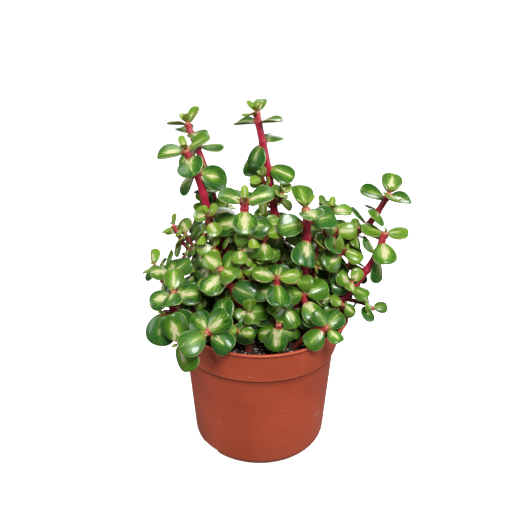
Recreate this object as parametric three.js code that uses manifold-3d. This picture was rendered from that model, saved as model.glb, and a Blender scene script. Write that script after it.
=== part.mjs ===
// Variegated elephant bush (Portulacaria afra) in a 12 cm nursery pot.
// Millimetres, +Z up, -Y to the front. The origin is the middle of the pot's underside.
import * as THREE from "three";
import { mergeVertices } from "three/addons/utils/BufferGeometryUtils.js";
import Module from "manifold-3d";

const wasm = await Module();
wasm.setup();

// ---------------------------------------------------------------- driving dimensions
// pot
const POT_HEIGHT = 100.8;
const RIM_RADIUS = 60.2; // outside of the lip
const LIP_HEIGHT = 2.2;
const LIP_STEP = 0.7; // how far the lip stands out from the collar
const COLLAR_HEIGHT = 21.7;
const COLLAR_FOOT_RADIUS = 58.4;
const BODY_TOP_RADIUS = 57.0;
const FOOT_RADIUS = 51.3; // the body's radius where it would meet the floor
const FOOT_ROUND = 8.5; // rounding between body and underside
const BEVEL = 0.4; // slope of the lip's and the collar's edges
const WALL = 1.4;
const RIM_WIDTH = 3; // lip and wall, seen from above
const RIM_BEND = 8; // how far the soft rim is bent out on one side
const BEND_ANGLE = 0; // the middle of that side, in degrees from +X
const BEND_SPREAD = 42; // and its reach to each side of there
const FLOOR = 2.2;
const INNER_STEP = [1, 2.2]; // heights of the inner step's two edges over the collar's foot
const POT_SIDES = 32;
const DRAIN_ANGLES = [-138, 42]; // degrees from +X
const DRAIN_WIDTH = 18;
const DRAIN_HEIGHT = 7; // from the underside
const DRAIN_CUT = [44, 56.3]; // from inside the wall to outside it

// potting mix
const SOIL_EDGE = 89.4; // height at the wall
const SOIL_CROWN = 91; // and in the middle
const FIT_GAP = 0.3; // clearance between pieces that touch
const ROOT_DEPTH = 20; // how far a stem stands in the mix

// stems
const SPAN_STEPS = 10; // points along each span of a stem's curve
const SAMPLE_STEP = 2.5; // spacing of the points that stand for a stem in the clearance test
const RING_STEP = 16; // spacing of a stem's rings
const STEM_SIDES = 5;
const SHOOT_SIDES = 4;
const ELBOW_REACH = 0.7; // a side shoot's bend: its share of the way out, and of the rise
const ELBOW_RISE = 0.35;
const SPROUT_TURN = [0, 60]; // ranges that a sprout's turn, reach and leaves are drawn from
const SPROUT_REACH = [15, 25];
const SPROUT_LEAF = [14, 17.5];
const SPROUT_OUT = 0.72; // its tip's distance out and up, of its reach
const SPROUT_UP = 0.85;
const SPROUT_ROOM = 6; // least distance from a sprout's middle to another stem's
const SPROUT_FREE = 6; // from here on it stays clear of other nodes
const SPROUT_BEND = 12; // and from here on of its own stem too

// leaves
const TIP_PAIR = 1.4; // distance of the first pair from the tip
const PAIR_RISES = [34, 8, -18, -30, -36, -40]; // a leaf's rise from the plane across its stem, tip down
const THIRD_GAP = [0.75, 0.9]; // distance between the second and third pairs, of the shoot's gap
const OTHER_GAPS = [0.9, 1.1];
const GROWTH = 0.45; // what each pair down leaves of the shortfall in size
const TURN_SPREAD = [-12, 12];
const RISE_SPREAD = [-10, 10];
const ROLL_SPREAD = [-15, 15];
const SIZE_SPREAD = [0.92, 1.08];
const NECK = 0.8; // from the stem's middle to a leaf's blade, of the stem's radius
const ROOT_SINK = 0.6; // where a leaf's root starts, of its neck
const LEAF_WIDTH = 0.95; // of its length
const LEAF_THICKNESS = 0.135; // of its length
const LEAF_ARCH = 0.1; // fall of the tip, of its length
const LEAF_DISH = 0.1; // fall of the edges, of its width
const CREST = 0.55; // where a leaf is thickest, along it
const OUTLINE_STEPS = [0.27, 0.64, 0.96]; // where the outline's corners stand, along it
const FOOT_POWER = 0.62; // outline of a leaf: cuneate at the foot
const END_POWER = 0.42; // and round at the end
const SAMPLE_ALONG = [0.12, 0.35, 0.55, 0.75, 0.95]; // points that stand for a leaf in the clearance test
const SAMPLE_ACROSS = [-0.92, -0.46, 0, 0.46, 0.92];
const LEAF_GAP = 0.55; // least clearance between leaves
const OWN_GAP = 0.05; // and between leaves of one node
const POT_GAP = 0.95; // and to the pot and the mix
const AXIL = 7; // this near to its root, a leaf may touch its own stem
const NEAR = 4; // margin of the quick test that comes before the full one
const LEAF_LEAST = 7.5; // no leaf is shorter
const LEAN = 0.5; // how far a pair faces outwards
const LEAN_TOP = 205; // height from which the pairs no longer face outwards
const LEAN_FADE = 40;

// ---------------------------------------------------------------- vectors
const add = (a, b) => [a[0] + b[0], a[1] + b[1], a[2] + b[2]];
const sub = (a, b) => [a[0] - b[0], a[1] - b[1], a[2] - b[2]];
const times = (a, k) => [a[0] * k, a[1] * k, a[2] * k];
const dot = (a, b) => a[0] * b[0] + a[1] * b[1] + a[2] * b[2];
const cross = (a, b) => [
  a[1] * b[2] - a[2] * b[1],
  a[2] * b[0] - a[0] * b[2],
  a[0] * b[1] - a[1] * b[0],
];
const length = (a) => Math.sqrt(dot(a, a));
const unit = (a) => times(a, 1 / length(a));
const mix = (a, b, t) => add(times(a, 1 - t), times(b, t));
const radians = (degrees) => (degrees * Math.PI) / 180;
const between = ([low, high], random) => low + (high - low) * random();

// A small seeded generator, so that every build draws the same numbers.
function draws(seed) {
  let state = seed >>> 0;
  return () => {
    state = (Math.imul(state, 1664525) + 1013904223) >>> 0;
    return state / 4294967296;
  };
}

// ---------------------------------------------------------------- stems
// Each stem has its name, its radius at the foot and at the top, the points of its curve from the mix up,
// and how its leaves sit. turn: direction of the tip pair round the stem, in degrees from +X. leaf: length of
// a full leaf. young: size of the tip pair, of a full leaf. step: distance between the first two pairs. gap:
// distance between the others. droop: how far leaves hang. light: how far they turn to the front. tipShare:
// the share of that turn in the first two pairs. face: the way the tip's cross of leaves looks. bare: length
// at the foot without leaves. sprouts: how many short side shoots grow by rule. shoots: side shoots with a
// place of their own, each from a share of the stem's length to its tip.
const STEM = {
  foot: 2.7, top: 2, turn: 0, leaf: 19, young: 0.75, step: 6, gap: 13,
  droop: 0, light: 0.5, tipShare: 1, bare: 24, sprouts: 0, shoots: [],
};
const SHOOT = {
  foot: 1.7, top: 1.3, turn: 45, leaf: 15, young: 0.75, step: 5, gap: 9,
  droop: 0, light: 0.4, tipShare: 1, bare: 5,
};
const STEMS = [
  {
    name: "leafy_stem_tall_left", foot: 3.3, top: 2.5,
    points: [[-20, -8, 90], [-28, -9, 130], [-38.3, -12, 197], [-48.6, -15, 229]],
    turn: 0, step: 3.5, gap: 15, leaf: 19.5, young: 0.9, droop: 14, light: 0.8, tipShare: 0.4,
    bare: 50, sprouts: 1,
    shoots: [
      { share: 0.42, tip: [-62.8, 0, 173], turn: 20, leaf: 12 },
      { share: 0.46, tip: [-53.6, -6, 168], turn: 70, leaf: 17 },
      { share: 0.6, tip: [-35, -22, 187], turn: 10, leaf: 12.5, light: 0.6 },
      { share: 0.4, tip: [-24, -8, 166], turn: 40, leaf: 17, light: 1 },
    ],
  },
  {
    name: "leafy_stem_tall_centre", foot: 3.3, top: 2.4,
    points: [[9, 12, 90], [12.8, 11, 154], [9.5, 10, 188.6], [4, 10, 220], [-2.7, 10, 251]],
    turn: 60, gap: 17, leaf: 19, young: 0.62, droop: 8, light: 1, tipShare: 0.3, bare: 56, sprouts: 1,
    shoots: [
      { share: 0.6, tip: [16, 2, 196], turn: 80, leaf: 12.5 },
      { share: 0.68, tip: [1.4, 4, 207], turn: 20, leaf: 12 },
      { share: 0.45, tip: [17, -10, 172], turn: 0, leaf: 15, droop: 20 },
    ],
  },
  {
    name: "leafy_stem_centre_front", foot: 3.2, top: 2.7,
    points: [[-5, -16, 90], [-11.8, -22, 156], [-9.9, -25, 197]],
    turn: 0, step: 4, gap: 14, leaf: 20, young: 0.88, droop: 16, light: 0.8, tipShare: 0.25,
    bare: 44, sprouts: 2,
    shoots: [{ share: 0.6, tip: [-29, -8, 167], turn: 30 }],
  },
  {
    name: "leafy_stem_right_front", foot: 3.3, top: 2.8,
    points: [[20, -12, 90], [31, -19, 140], [32.1, -20, 176.5], [30.9, -20, 191]],
    turn: 110, step: 9, gap: 13, leaf: 20, young: 0.85, droop: 8, bare: 36, sprouts: 2,
  },
  {
    name: "leafy_stem_right_upright", foot: 2.7, top: 2.1,
    points: [[26, 8, 90], [42, 8, 125], [48, 8, 160], [50.8, 8, 182]],
    turn: 10, leaf: 19.5, bare: 40, light: 0.8,
    shoots: [
      { share: 0.72, tip: [55, -4, 171], turn: 20, leaf: 18, light: 1 },
      { share: 0.6, tip: [61, -8, 158], turn: 0, leaf: 19, light: 1 },
    ],
  },
  {
    name: "leafy_stem_long_right_upper", foot: 3, top: 2.2,
    points: [[38, 14, 90], [52, 14, 135], [67.9, 11, 162], [80, 10, 170], [94, 10, 194]],
    turn: 90, step: 3, gap: 14, leaf: 18.5, young: 0.9, bare: 50, sprouts: 1, face: [0.2, -0.35, 0.9],
    shoots: [{ share: 0.6, tip: [72, 1, 171], turn: 30, leaf: 12.5 }],
  },
  {
    name: "leafy_stem_long_right_lower", foot: 3.5, top: 2.3,
    points: [[33, -8, 90], [51.2, -12, 109], [73, -9, 135], [83.8, -7, 152.2], [89.4, -5, 169]],
    turn: 0, step: 5, gap: 14, leaf: 18.5, young: 0.85, droop: 16, bare: 30, face: [0.1, -0.45, 0.85],
    shoots: [
      { share: 0.5, tip: [66.3, -16, 136], turn: 80, leaf: 15 },
      { share: 0.36, tip: [60, -24, 121], turn: 0, leaf: 14, droop: 30 },
      { share: 0.42, tip: [83, -18, 114.4], turn: 20, leaf: 13.5, face: [0.4, -0.4, 0.8] },
    ],
  },
  {
    name: "leafy_stem_low_right_front", foot: 2.5,
    points: [[26, -30, 90], [37, -38, 107], [46.8, -48, 115]],
    turn: 135, step: 3, gap: 10, leaf: 18, young: 0.68, droop: 8, bare: 18, face: [0.1, -0.7, 0.7],
  },
  {
    name: "leafy_stem_low_left_front", foot: 2.5, top: 2,
    points: [[-20, -28, 90], [-19, -38, 110], [-24, -48, 116.5], [-35.7, -58, 116]],
    turn: 30, step: 3, gap: 11, leaf: 18.5, young: 0.95, droop: 12, bare: 18, face: [-0.15, -0.8, 0.6],
    shoots: [
      { share: 0.5, tip: [-13, -53, 115], turn: 10, leaf: 12, droop: 20 },
      { share: 0.55, tip: [-55, -52, 105], turn: 58, leaf: 21, young: 0.98, droop: 32, face: [-0.2, -1, 0.2] },
    ],
  },
  {
    name: "leafy_stem_left_front", foot: 2.5, top: 1.9,
    points: [[-30, -17, 90], [-44, -24, 110], [-60, -34, 122], [-58.4, -36, 137]],
    turn: 90, step: 3, gap: 12, leaf: 18, young: 0.85, droop: 12, bare: 18, sprouts: 1,
    face: [-0.1, -0.5, 0.85],
    shoots: [
      { share: 0.7, tip: [-66, -38, 122], turn: 40, leaf: 23, young: 0.95, droop: 32, face: [-0.2, -1, 0.3] },
      { share: 0.5, tip: [-44, -26, 133], turn: 30, leaf: 12 },
    ],
  },
  {
    name: "leafy_stem_left",
    points: [[-35, -4, 90], [-54, -8, 120], [-63.6, -14, 141]],
    turn: 20, step: 3, gap: 10, leaf: 18.5, young: 0.85, droop: 10, bare: 22, sprouts: 1,
    face: [-0.1, -0.35, 0.9],
    shoots: [
      { share: 0.6, tip: [-78, -2, 143], turn: 60, leaf: 16 },
    ],
  },
  {
    name: "leafy_stem_front_left_inner",
    points: [[-8, -34, 90], [-9, -33, 112], [-16, -32, 131], [-26.5, -37, 154]],
    turn: 130, step: 4, gap: 12, leaf: 19, young: 0.8, droop: 5, bare: 18, sprouts: 1,
    face: [-0.2, -0.5, 0.85],
  },
  {
    name: "leafy_stem_front_centre", foot: 2.5,
    points: [[10, -26, 90], [12, -33, 120], [11.4, -39, 149]],
    turn: 0, step: 4, gap: 12, leaf: 18.5, young: 0.85, droop: 8, bare: 18, sprouts: 1, face: [0, -0.5, 0.85],
    shoots: [{ share: 0.35, tip: [18, -32, 129], turn: 60, leaf: 19, droop: 40 }],
  },
  {
    name: "leafy_stem_front_right_inner",
    points: [[35, -22, 90], [34, -25, 112], [30, -27, 132]],
    turn: 30, step: 5, gap: 11, leaf: 19.5, young: 0.85, droop: 20, bare: 14, sprouts: 1,
  },
  {
    name: "leafy_stem_low_front", foot: 2.2,
    points: [[13, -40, 90], [13, -43, 116]],
    turn: 90, step: 5, gap: 8, leaf: 16.5, young: 0.95, droop: 70, bare: 10,
  },
  {
    name: "leafy_stem_tall_left_back", foot: 3.1, top: 2.2,
    points: [[-14, 20, 90], [-24, 20, 140], [-38.3, 20, 203], [-52.5, 24, 242]],
    turn: 20, gap: 14, leaf: 17.5, young: 0.75, droop: 6, light: 0.4, bare: 50, sprouts: 1,
  },
  {
    name: "leafy_stem_left_outer",
    points: [[-42, 11, 90], [-60, 18, 112], [-76, 27, 130]],
    turn: 30, gap: 12, bare: 18, light: 0.1, sprouts: 2,
  },
  {
    name: "leafy_stem_back_left", foot: 2.5,
    points: [[-30, 20, 90], [-44, 38, 125], [-56, 50, 158]],
    turn: 30, leaf: 20, bare: 14, light: 0.1, sprouts: 2,
  },
  {
    name: "leafy_stem_back_centre_left",
    points: [[-12, 36, 90], [-17, 54, 122], [-22, 64, 156]],
    turn: 10, leaf: 20, bare: 14, light: 0.1, sprouts: 2,
  },
  {
    name: "leafy_stem_back_centre", foot: 2.6, top: 1.9,
    points: [[8, 32, 90], [14, 44, 130], [12, 50, 174]],
    turn: 50, leaf: 20, bare: 20, light: 0.1, sprouts: 2,
  },
  {
    name: "leafy_stem_back_right", foot: 2.5,
    points: [[26, 28, 90], [42, 46, 120], [54, 58, 152]],
    turn: 20, leaf: 20, bare: 14, light: 0.1, sprouts: 2,
  },
  {
    name: "leafy_stem_right_outer",
    points: [[44, 2, 90], [60, 16, 112], [74, 30, 136]],
    turn: 30, gap: 12, bare: 20, light: 0.1, sprouts: 2,
  },
];

// A Catmull-Rom curve through the points, as a polyline with the distance along it.
function curve(points) {
  const beyond = (end, next) => sub(times(end, 2), next);
  const all = [beyond(points[0], points[1]), ...points, beyond(points.at(-1), points.at(-2))];
  const line = [points[0]];
  for (let span = 1; span < all.length - 2; span++) {
    const [p0, p1, p2, p3] = all.slice(span - 1, span + 3);
    for (let step = 1; step <= SPAN_STEPS; step++) {
      const t = step / SPAN_STEPS;
      line.push([0, 1, 2].map((k) => {
        const square = 2 * p0[k] - 5 * p1[k] + 4 * p2[k] - p3[k];
        const cube = 3 * p1[k] - p0[k] - 3 * p2[k] + p3[k];
        return (2 * p1[k] + (p2[k] - p0[k]) * t + square * t * t + cube * t * t * t) / 2;
      }));
    }
  }
  const along = [0];
  for (let i = 1; i < line.length; i++) along.push(along[i - 1] + length(sub(line[i], line[i - 1])));
  return { line, along, total: along.at(-1) };
}

// The point and direction at a distance along a curve.
function at(path, distance) {
  const s = Math.min(Math.max(distance, 0), path.total);
  let i = 1;
  while (i < path.along.length - 1 && path.along[i] < s) i++;
  const t = (s - path.along[i - 1]) / (path.along[i] - path.along[i - 1]);
  const before = Math.max(i - 2, 0);
  const after = Math.min(i + 1, path.line.length - 1);
  return {
    point: mix(path.line[i - 1], path.line[i], t),
    along: unit(sub(path.line[after], path.line[before])),
  };
}

// Directions across a stem: the first points to +X on an upright stem, the second to +Y.
function across(axis) {
  const side = unit(cross([0, 1, 0], axis));
  return [side, cross(axis, side)];
}

function radiusAt(shoot, distance) {
  return shoot.foot + ((shoot.top - shoot.foot) * distance) / shoot.path.total;
}

// ---------------------------------------------------------------- side shoots by rule
// Points that stand for a stem's wood, each with its radius, node and distance along it.
function woodOf(shoot) {
  const points = [];
  for (let s = 0; s <= shoot.path.total; s += SAMPLE_STEP) {
    points.push({ centre: at(shoot.path, s).point, radius: radiusAt(shoot, s), node: shoot.node, s });
  }
  return points;
}

// Distances of a shoot's leaf pairs from its tip. The first always stands.
function pairDistances(shoot, random) {
  const distances = [TIP_PAIR, TIP_PAIR + shoot.step];
  const room = Math.max(shoot.path.total - shoot.bare, TIP_PAIR);
  let next = distances.at(-1) + shoot.gap * between(THIRD_GAP, random);
  while (next < room) {
    distances.push(next);
    next += shoot.gap * between(OTHER_GAPS, random);
  }
  return distances.filter((fromTip) => fromTip <= room);
}

// Distances of a stem's rings along its curve. A leader's first ring stands clear of the mix.
function ringDistances(shoot) {
  const first = shoot.leader ? shoot.foot * 3 : 0;
  const room = shoot.path.total - first;
  const spans = Math.max(shoot.leader ? 3 : 2, Math.round(room / RING_STEP));
  return Array.from({ length: spans + 1 }, (_, i) => first + (room * i) / spans);
}

// The middle of the straight run between two rings, where a leaf's root sits.
function coreAt(shoot, distance) {
  const rings = ringDistances(shoot);
  const next = Math.max(rings.findIndex((ring) => ring >= distance), 1);
  const [before, after] = [rings[next - 1], rings[next]];
  const t = (distance - before) / (after - before);
  return mix(at(shoot.path, before).point, at(shoot.path, after).point, t);
}

function growShoots() {
  const shoots = [];
  const wood = [];
  const grow = (shoot) => {
    shoots.push(shoot);
    wood.push(...woodOf(shoot));
  };
  STEMS.forEach((stem, node) => grow({ ...STEM, ...stem, node, path: curve(stem.points), leader: true }));
  for (const leader of shoots.slice()) {
    for (const side of leader.shoots) {
      const start = coreAt(leader, side.share * leader.path.total);
      const path = curve([start, elbowOf(start, side.tip), side.tip]);
      grow({ ...SHOOT, ...side, node: leader.node, path });
    }
  }
  for (const leader of shoots.slice(0, STEMS.length)) {
    sproutsOf(leader, draws(1000 + leader.node), wood).forEach(grow);
  }
  return { shoots, wood };
}

// A side shoot leaves its stem sideways and then turns up.
function elbowOf(start, tip) {
  const way = sub(tip, start);
  return add(start, [way[0] * ELBOW_REACH, way[1] * ELBOW_REACH, way[2] * ELBOW_RISE]);
}

// Whether a sprout comes too near other stems, or past its bend too near its own.
function isCrowded(sprout, wood) {
  return woodOf(sprout).some((a) => a.s > SPROUT_FREE && wood.some((b) => {
    const other = b.node !== a.node || a.s > SPROUT_BEND;
    return other && length(sub(a.centre, b.centre)) < SPROUT_ROOM;
  }));
}

// A short side shoot that bends upwards, in a leaf axil of its leader.
function sproutAt(leader, fromTip, turn, random) {
  const fromRoot = leader.path.total - fromTip;
  const foot = coreAt(leader, fromRoot);
  const { along } = at(leader.path, fromRoot);
  const [side, back] = across(along);
  const angle = radians(turn + between(SPROUT_TURN, random));
  const out = add(times(side, Math.cos(angle)), times(back, Math.sin(angle)));
  const up = unit(add(along, [0, 0, 1]));
  const reach = between(SPROUT_REACH, random);
  const tip = add(foot, add(times(out, SPROUT_OUT * reach), times(up, SPROUT_UP * reach)));
  const leaves = { turn: 90 * random(), leaf: between(SPROUT_LEAF, random) };
  return { ...SHOOT, ...leaves, node: leader.node, path: curve([foot, elbowOf(foot, tip), tip]) };
}

// A leader's sprouts, from the lowest pair of leaves up, where there is room.
function sproutsOf(leader, random, wood) {
  const sprouts = [];
  const pairs = pairDistances(leader, draws(500 + leader.node)).slice(2).reverse();
  for (const fromTip of pairs) {
    for (const turn of [0, 90, 180, 270]) {
      if (sprouts.length === leader.sprouts) return sprouts;
      const sprout = sproutAt(leader, fromTip, turn, random);
      const low = sprout.path.line[SPAN_STEPS][2] < POT_HEIGHT;
      if (low || isCrowded(sprout, wood)) continue;
      sprouts.push(sprout);
      break;
    }
  }
  return sprouts;
}

// ---------------------------------------------------------------- leaves
// Half width of the outline at a share of the length, as a share of the half width.
const outlineShape = (t) => t ** FOOT_POWER * (1 - t) ** END_POWER;
const OUTLINE_PEAK = outlineShape(FOOT_POWER / (FOOT_POWER + END_POWER));
const outlineAt = (t) => outlineShape(t) / OUTLINE_PEAK;

// Half thickness, as a share of the half thickness at the crest.
const swellAt = (t) => (t ** 0.35 * (1 - t) ** 0.3) / 0.66;

// Height of a leaf's middle surface over its own plane.
function fallAt(leaf, t, v) {
  const edge = v / (leaf.width / 2);
  return -leaf.size * LEAF_ARCH * t * t - leaf.width * LEAF_DISH * edge * edge;
}

// A leaf's place in a frame: along it, across it and out of its upper face.
function frameLeaf(leaf) {
  const angle = radians(leaf.turn);
  const out = add(times(leaf.side, Math.cos(angle)), times(leaf.back, Math.sin(angle)));
  const rise = radians(leaf.rise);
  leaf.along = add(times(out, Math.cos(rise)), times(leaf.axis, Math.sin(rise)));
  const upper = add(times(leaf.axis, Math.cos(rise)), times(out, -Math.sin(rise)));
  const flat = cross(upper, leaf.along);
  const roll = radians(leaf.roll);
  leaf.across = add(times(flat, Math.cos(roll)), times(upper, Math.sin(roll)));
  leaf.upper = cross(leaf.along, leaf.across);
  leaf.width = leaf.size * LEAF_WIDTH;
  leaf.thick = (leaf.size * LEAF_THICKNESS) / 2;
  leaf.middle = add(leaf.root, times(leaf.along, leaf.neck + leaf.size * 0.5));
  leaf.samples = sampleLeaf(leaf);
}

// A point given in a leaf's own frame.
function onLeaf(leaf, t, v, w) {
  const stretch = leaf.neck + t * leaf.size;
  return add(leaf.root, add(times(leaf.along, stretch), add(times(leaf.across, v), times(leaf.upper, w))));
}

// Balls that stand for a leaf in the clearance test.
function sampleLeaf(leaf) {
  const samples = [];
  for (const t of SAMPLE_ALONG) {
    const half = (outlineAt(t) * leaf.width) / 2;
    for (const share of SAMPLE_ACROSS) {
      const v = half * share;
      const point = onLeaf(leaf, t, v, fallAt(leaf, t, v));
      samples.push({ point, radius: leaf.thick * swellAt(t) * Math.sqrt(1 - share * share) });
    }
  }
  return samples;
}

// Whether a ball comes within a gap of a leaf.
function meets(leaf, point, radius, gap) {
  const away = sub(point, leaf.root);
  const t = (dot(away, leaf.along) - leaf.neck) / leaf.size;
  const reach = (radius + gap) / leaf.size;
  if (t < -reach || t > 1 + reach) return false;
  const inner = Math.min(Math.max(t, 0.02), 0.98);
  const half = (outlineAt(inner) * leaf.width) / 2;
  const v = dot(away, leaf.across);
  if (Math.abs(v) > half + radius + gap) return false;
  const share = Math.min(Math.abs(v) / half, 1);
  const swell = leaf.thick * swellAt(inner) * Math.sqrt(1 - share * share);
  return Math.abs(dot(away, leaf.upper) - fallAt(leaf, inner, v)) < swell + radius + gap;
}

// How far the collar is bent out at a place: most at the rim, and nothing at its foot.
function bendAt(x, y, z) {
  const turned = Math.abs((Math.atan2(y, x) * 180) / Math.PI - BEND_ANGLE);
  const rise = (z - POT_HEIGHT + COLLAR_HEIGHT) / COLLAR_HEIGHT;
  if (turned > BEND_SPREAD || rise < 0) return 0;
  return RIM_BEND * rise * Math.cos(radians((90 * turned) / BEND_SPREAD)) ** 2;
}

// Whether a leaf would touch the pot's wall or the mix.
function meetsPot(leaf) {
  return leaf.samples.some(({ point, radius }) => {
    const out = Math.sqrt(point[0] * point[0] + point[1] * point[1]) - bendAt(...point);
    const gap = radius + POT_GAP;
    if (point[2] > POT_HEIGHT + gap || out > RIM_RADIUS + gap) return false;
    return out > RIM_RADIUS - RIM_WIDTH - gap || point[2] < SOIL_CROWN + gap;
  });
}

// Whether two leaves come too near each other. The two of one pair may touch.
function leavesMeet(leaf, other) {
  if (leaf.pairKey === other.pairKey) return false;
  const far = leaf.size / 2 + leaf.neck + other.size / 2 + NEAR;
  if (length(sub(leaf.middle, other.middle)) > far) return false;
  const gap = other.node === leaf.node ? OWN_GAP : LEAF_GAP;
  return leaf.samples.some(({ point, radius }) => meets(other, point, radius, gap))
    || other.samples.some(({ point, radius }) => meets(leaf, point, radius, gap));
}

// Whether a leaf comes too near a stem, other than by its own root.
function meetsWood(leaf, piece) {
  const far = leaf.size / 2 + leaf.neck + piece.radius + NEAR;
  if (length(sub(leaf.middle, piece.centre)) > far) return false;
  if (piece.node === leaf.node && length(sub(piece.centre, leaf.root)) < AXIL) return false;
  return meets(leaf, piece.centre, piece.radius, LEAF_GAP);
}

function isClear(leaf, leaves, wood) {
  if (meetsPot(leaf) || leaves.some((other) => leavesMeet(leaf, other))) return false;
  return !wood.some((piece) => meetsWood(leaf, piece));
}

// Other places tried for a leaf, in turn: change of turn, of rise, and of size.
const SHIFTS = [
  [0, 0, 1], [0, 14, 1], [0, -14, 1], [18, 0, 1], [-18, 0, 1], [0, 28, 0.95], [0, -26, 0.95],
  [26, 16, 0.9], [-26, 16, 0.9], [26, -16, 0.9], [-26, -16, 0.9], [0, 42, 0.85], [0, 10, 0.7],
  [30, -10, 0.65],
];

// The direction that a pair of leaves faces: along its stem, turned outwards and to the front.
function leanOf({ point, along }, light, face) {
  if (face) return unit(face);
  const [x, y, z] = point;
  const lean = LEAN * Math.min(Math.max((LEAN_TOP - z) / LEAN_FADE, 0), 1);
  return unit(add(add(along, times(unit([x, y, 0]), lean)), [0, -light, 0]));
}

// One pair of leaves, each in the first of its places that is clear.
function placePair(shoot, index, pair, leaves, wood) {
  const random = draws(77 + index * 31 + pair * 977);
  const fromRoot = shoot.path.total - shoot.pairs[pair];
  const isYoung = pair < 2;
  const light = shoot.light * (isYoung ? shoot.tipShare : 1);
  const axis = leanOf(at(shoot.path, fromRoot), light, isYoung ? shoot.face : null);
  const [side, back] = across(axis);
  const neck = radiusAt(shoot, fromRoot) * NECK;
  const root = coreAt(shoot, fromRoot);
  const stem = { node: shoot.node, pairKey: `${index} ${pair}`, root, axis, side, back, neck };
  const turn = shoot.turn + 90 * pair + between(TURN_SPREAD, random);
  for (const half of [0, 180]) {
    const grown = 1 - (1 - shoot.young) * GROWTH ** pair;
    const size = shoot.leaf * grown * between(SIZE_SPREAD, random);
    const level = PAIR_RISES[Math.min(pair, PAIR_RISES.length - 1)] - shoot.droop;
    const rise = level + between(RISE_SPREAD, random);
    const roll = between(ROLL_SPREAD, random);
    for (const [turned, raised, scale] of SHIFTS) {
      if (size * scale < LEAF_LEAST) continue;
      const leaf = { ...stem, roll, turn: turn + half + turned, rise: rise + raised, size: size * scale };
      frameLeaf(leaf);
      if (isClear(leaf, leaves, wood)) {
        leaves.push(leaf);
        break;
      }
    }
  }
}

// The youngest pairs of every shoot take their places first.
function placeLeaves(shoots, wood) {
  const leaves = [];
  shoots.forEach((shoot, index) => {
    shoot.pairs = pairDistances(shoot, draws(500 + index));
  });
  const most = Math.max(...shoots.map((shoot) => shoot.pairs.length));
  for (let pair = 0; pair < most; pair++) {
    shoots.forEach((shoot, index) => {
      if (pair < shoot.pairs.length) placePair(shoot, index, pair, leaves, wood);
    });
  }
  return leaves;
}

// ---------------------------------------------------------------- solids
function solidOf(geometry) {
  geometry.deleteAttribute("normal");
  geometry.deleteAttribute("uv");
  const merged = mergeVertices(geometry, 1e-4);
  return new wasm.Manifold(new wasm.Mesh({
    numProp: 3,
    vertProperties: new Float32Array(merged.attributes.position.array),
    triVerts: new Uint32Array(merged.index.array),
  }));
}

function meshOf(name, solid, material) {
  const { vertProperties, triVerts } = solid.getMesh();
  const geometry = new THREE.BufferGeometry();
  geometry.setAttribute("position", new THREE.BufferAttribute(vertProperties, 3));
  geometry.setIndex(new THREE.BufferAttribute(triVerts, 1));
  geometry.computeVertexNormals();
  const mesh = new THREE.Mesh(geometry, material);
  mesh.name = name;
  return mesh;
}

// Rings of a stem: a leader stands straight in the mix before it follows its curve.
function ringsOf(shoot) {
  const rings = ringDistances(shoot).map((distance) => ({
    ...at(shoot.path, distance), radius: radiusAt(shoot, distance),
  }));
  if (!shoot.leader) return rings;
  const [x, y, z] = shoot.path.line[0];
  const straight = [z - ROOT_DEPTH, SOIL_CROWN + FIT_GAP].map((height) => ({
    point: [x, y, height], along: [0, 0, 1], radius: shoot.foot,
  }));
  return [...straight, ...rings];
}

// A stem: a cylinder bent along its rings.
function stemSolid(shoot) {
  const rings = ringsOf(shoot);
  const sides = shoot.leader ? STEM_SIDES : SHOOT_SIDES;
  const geometry = new THREE.CylinderGeometry(1, 1, 1, sides, rings.length - 1);
  const place = geometry.attributes.position;
  for (let i = 0; i < place.count; i++) {
    const { point, along, radius } = rings[Math.round((place.getY(i) + 0.5) * (rings.length - 1))];
    const [side, back] = across(along);
    const moved = add(point, add(times(side, -place.getX(i) * radius), times(back, place.getZ(i) * radius)));
    place.setXYZ(i, ...moved);
  }
  return solidOf(geometry);
}

// A leaf: a ring of points on its outline, with a crest above and below.
function leafSolid(leaf) {
  const edge = (t, sign) => {
    const v = (sign * outlineAt(t) * leaf.width) / 2;
    return onLeaf(leaf, t, v, fallAt(leaf, t, v));
  };
  const root = add(leaf.root, times(leaf.along, leaf.neck * ROOT_SINK));
  const one = OUTLINE_STEPS.map((t) => edge(t, 1));
  const other = OUTLINE_STEPS.map((t) => edge(t, -1)).reverse();
  const ring = [root, ...one, ...other];
  const crests = [1, -1].map((sign) => onLeaf(leaf, CREST, 0, fallAt(leaf, CREST, 0) + sign * leaf.thick));
  const upper = ring.length;
  const under = upper + 1;
  const last = upper - 1;
  const index = [upper, 1, 0, upper, 0, last, under, last, 1, 0, 1, last];
  for (let i = 1; i < last; i++) index.push(upper, i + 1, i, under, i, i + 1);
  const geometry = new THREE.BufferGeometry();
  geometry.setAttribute("position", new THREE.Float32BufferAttribute([...ring, ...crests].flat(), 3));
  geometry.setIndex(index);
  return solidOf(geometry);
}

// ---------------------------------------------------------------- pot and mix
// Outside of the body at a height below the collar.
const bodyRadius = (z) => FOOT_RADIUS + ((BODY_TOP_RADIUS - FOOT_RADIUS) * z) / (POT_HEIGHT - COLLAR_HEIGHT);

function lathe(points, sides) {
  const geometry = new THREE.LatheGeometry(points.map(([r, z]) => new THREE.Vector2(r, z)), sides);
  return geometry.rotateX(Math.PI / 2);
}

function bendRim(geometry) {
  const place = geometry.attributes.position;
  for (let i = 0; i < place.count; i++) {
    const [x, y, z] = [place.getX(i), place.getY(i), place.getZ(i)];
    const bend = bendAt(x, y, z);
    if (bend === 0) continue;
    const share = 1 + bend / Math.sqrt(x * x + y * y);
    place.setXYZ(i, x * share, y * share, z);
  }
  return geometry;
}

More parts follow.
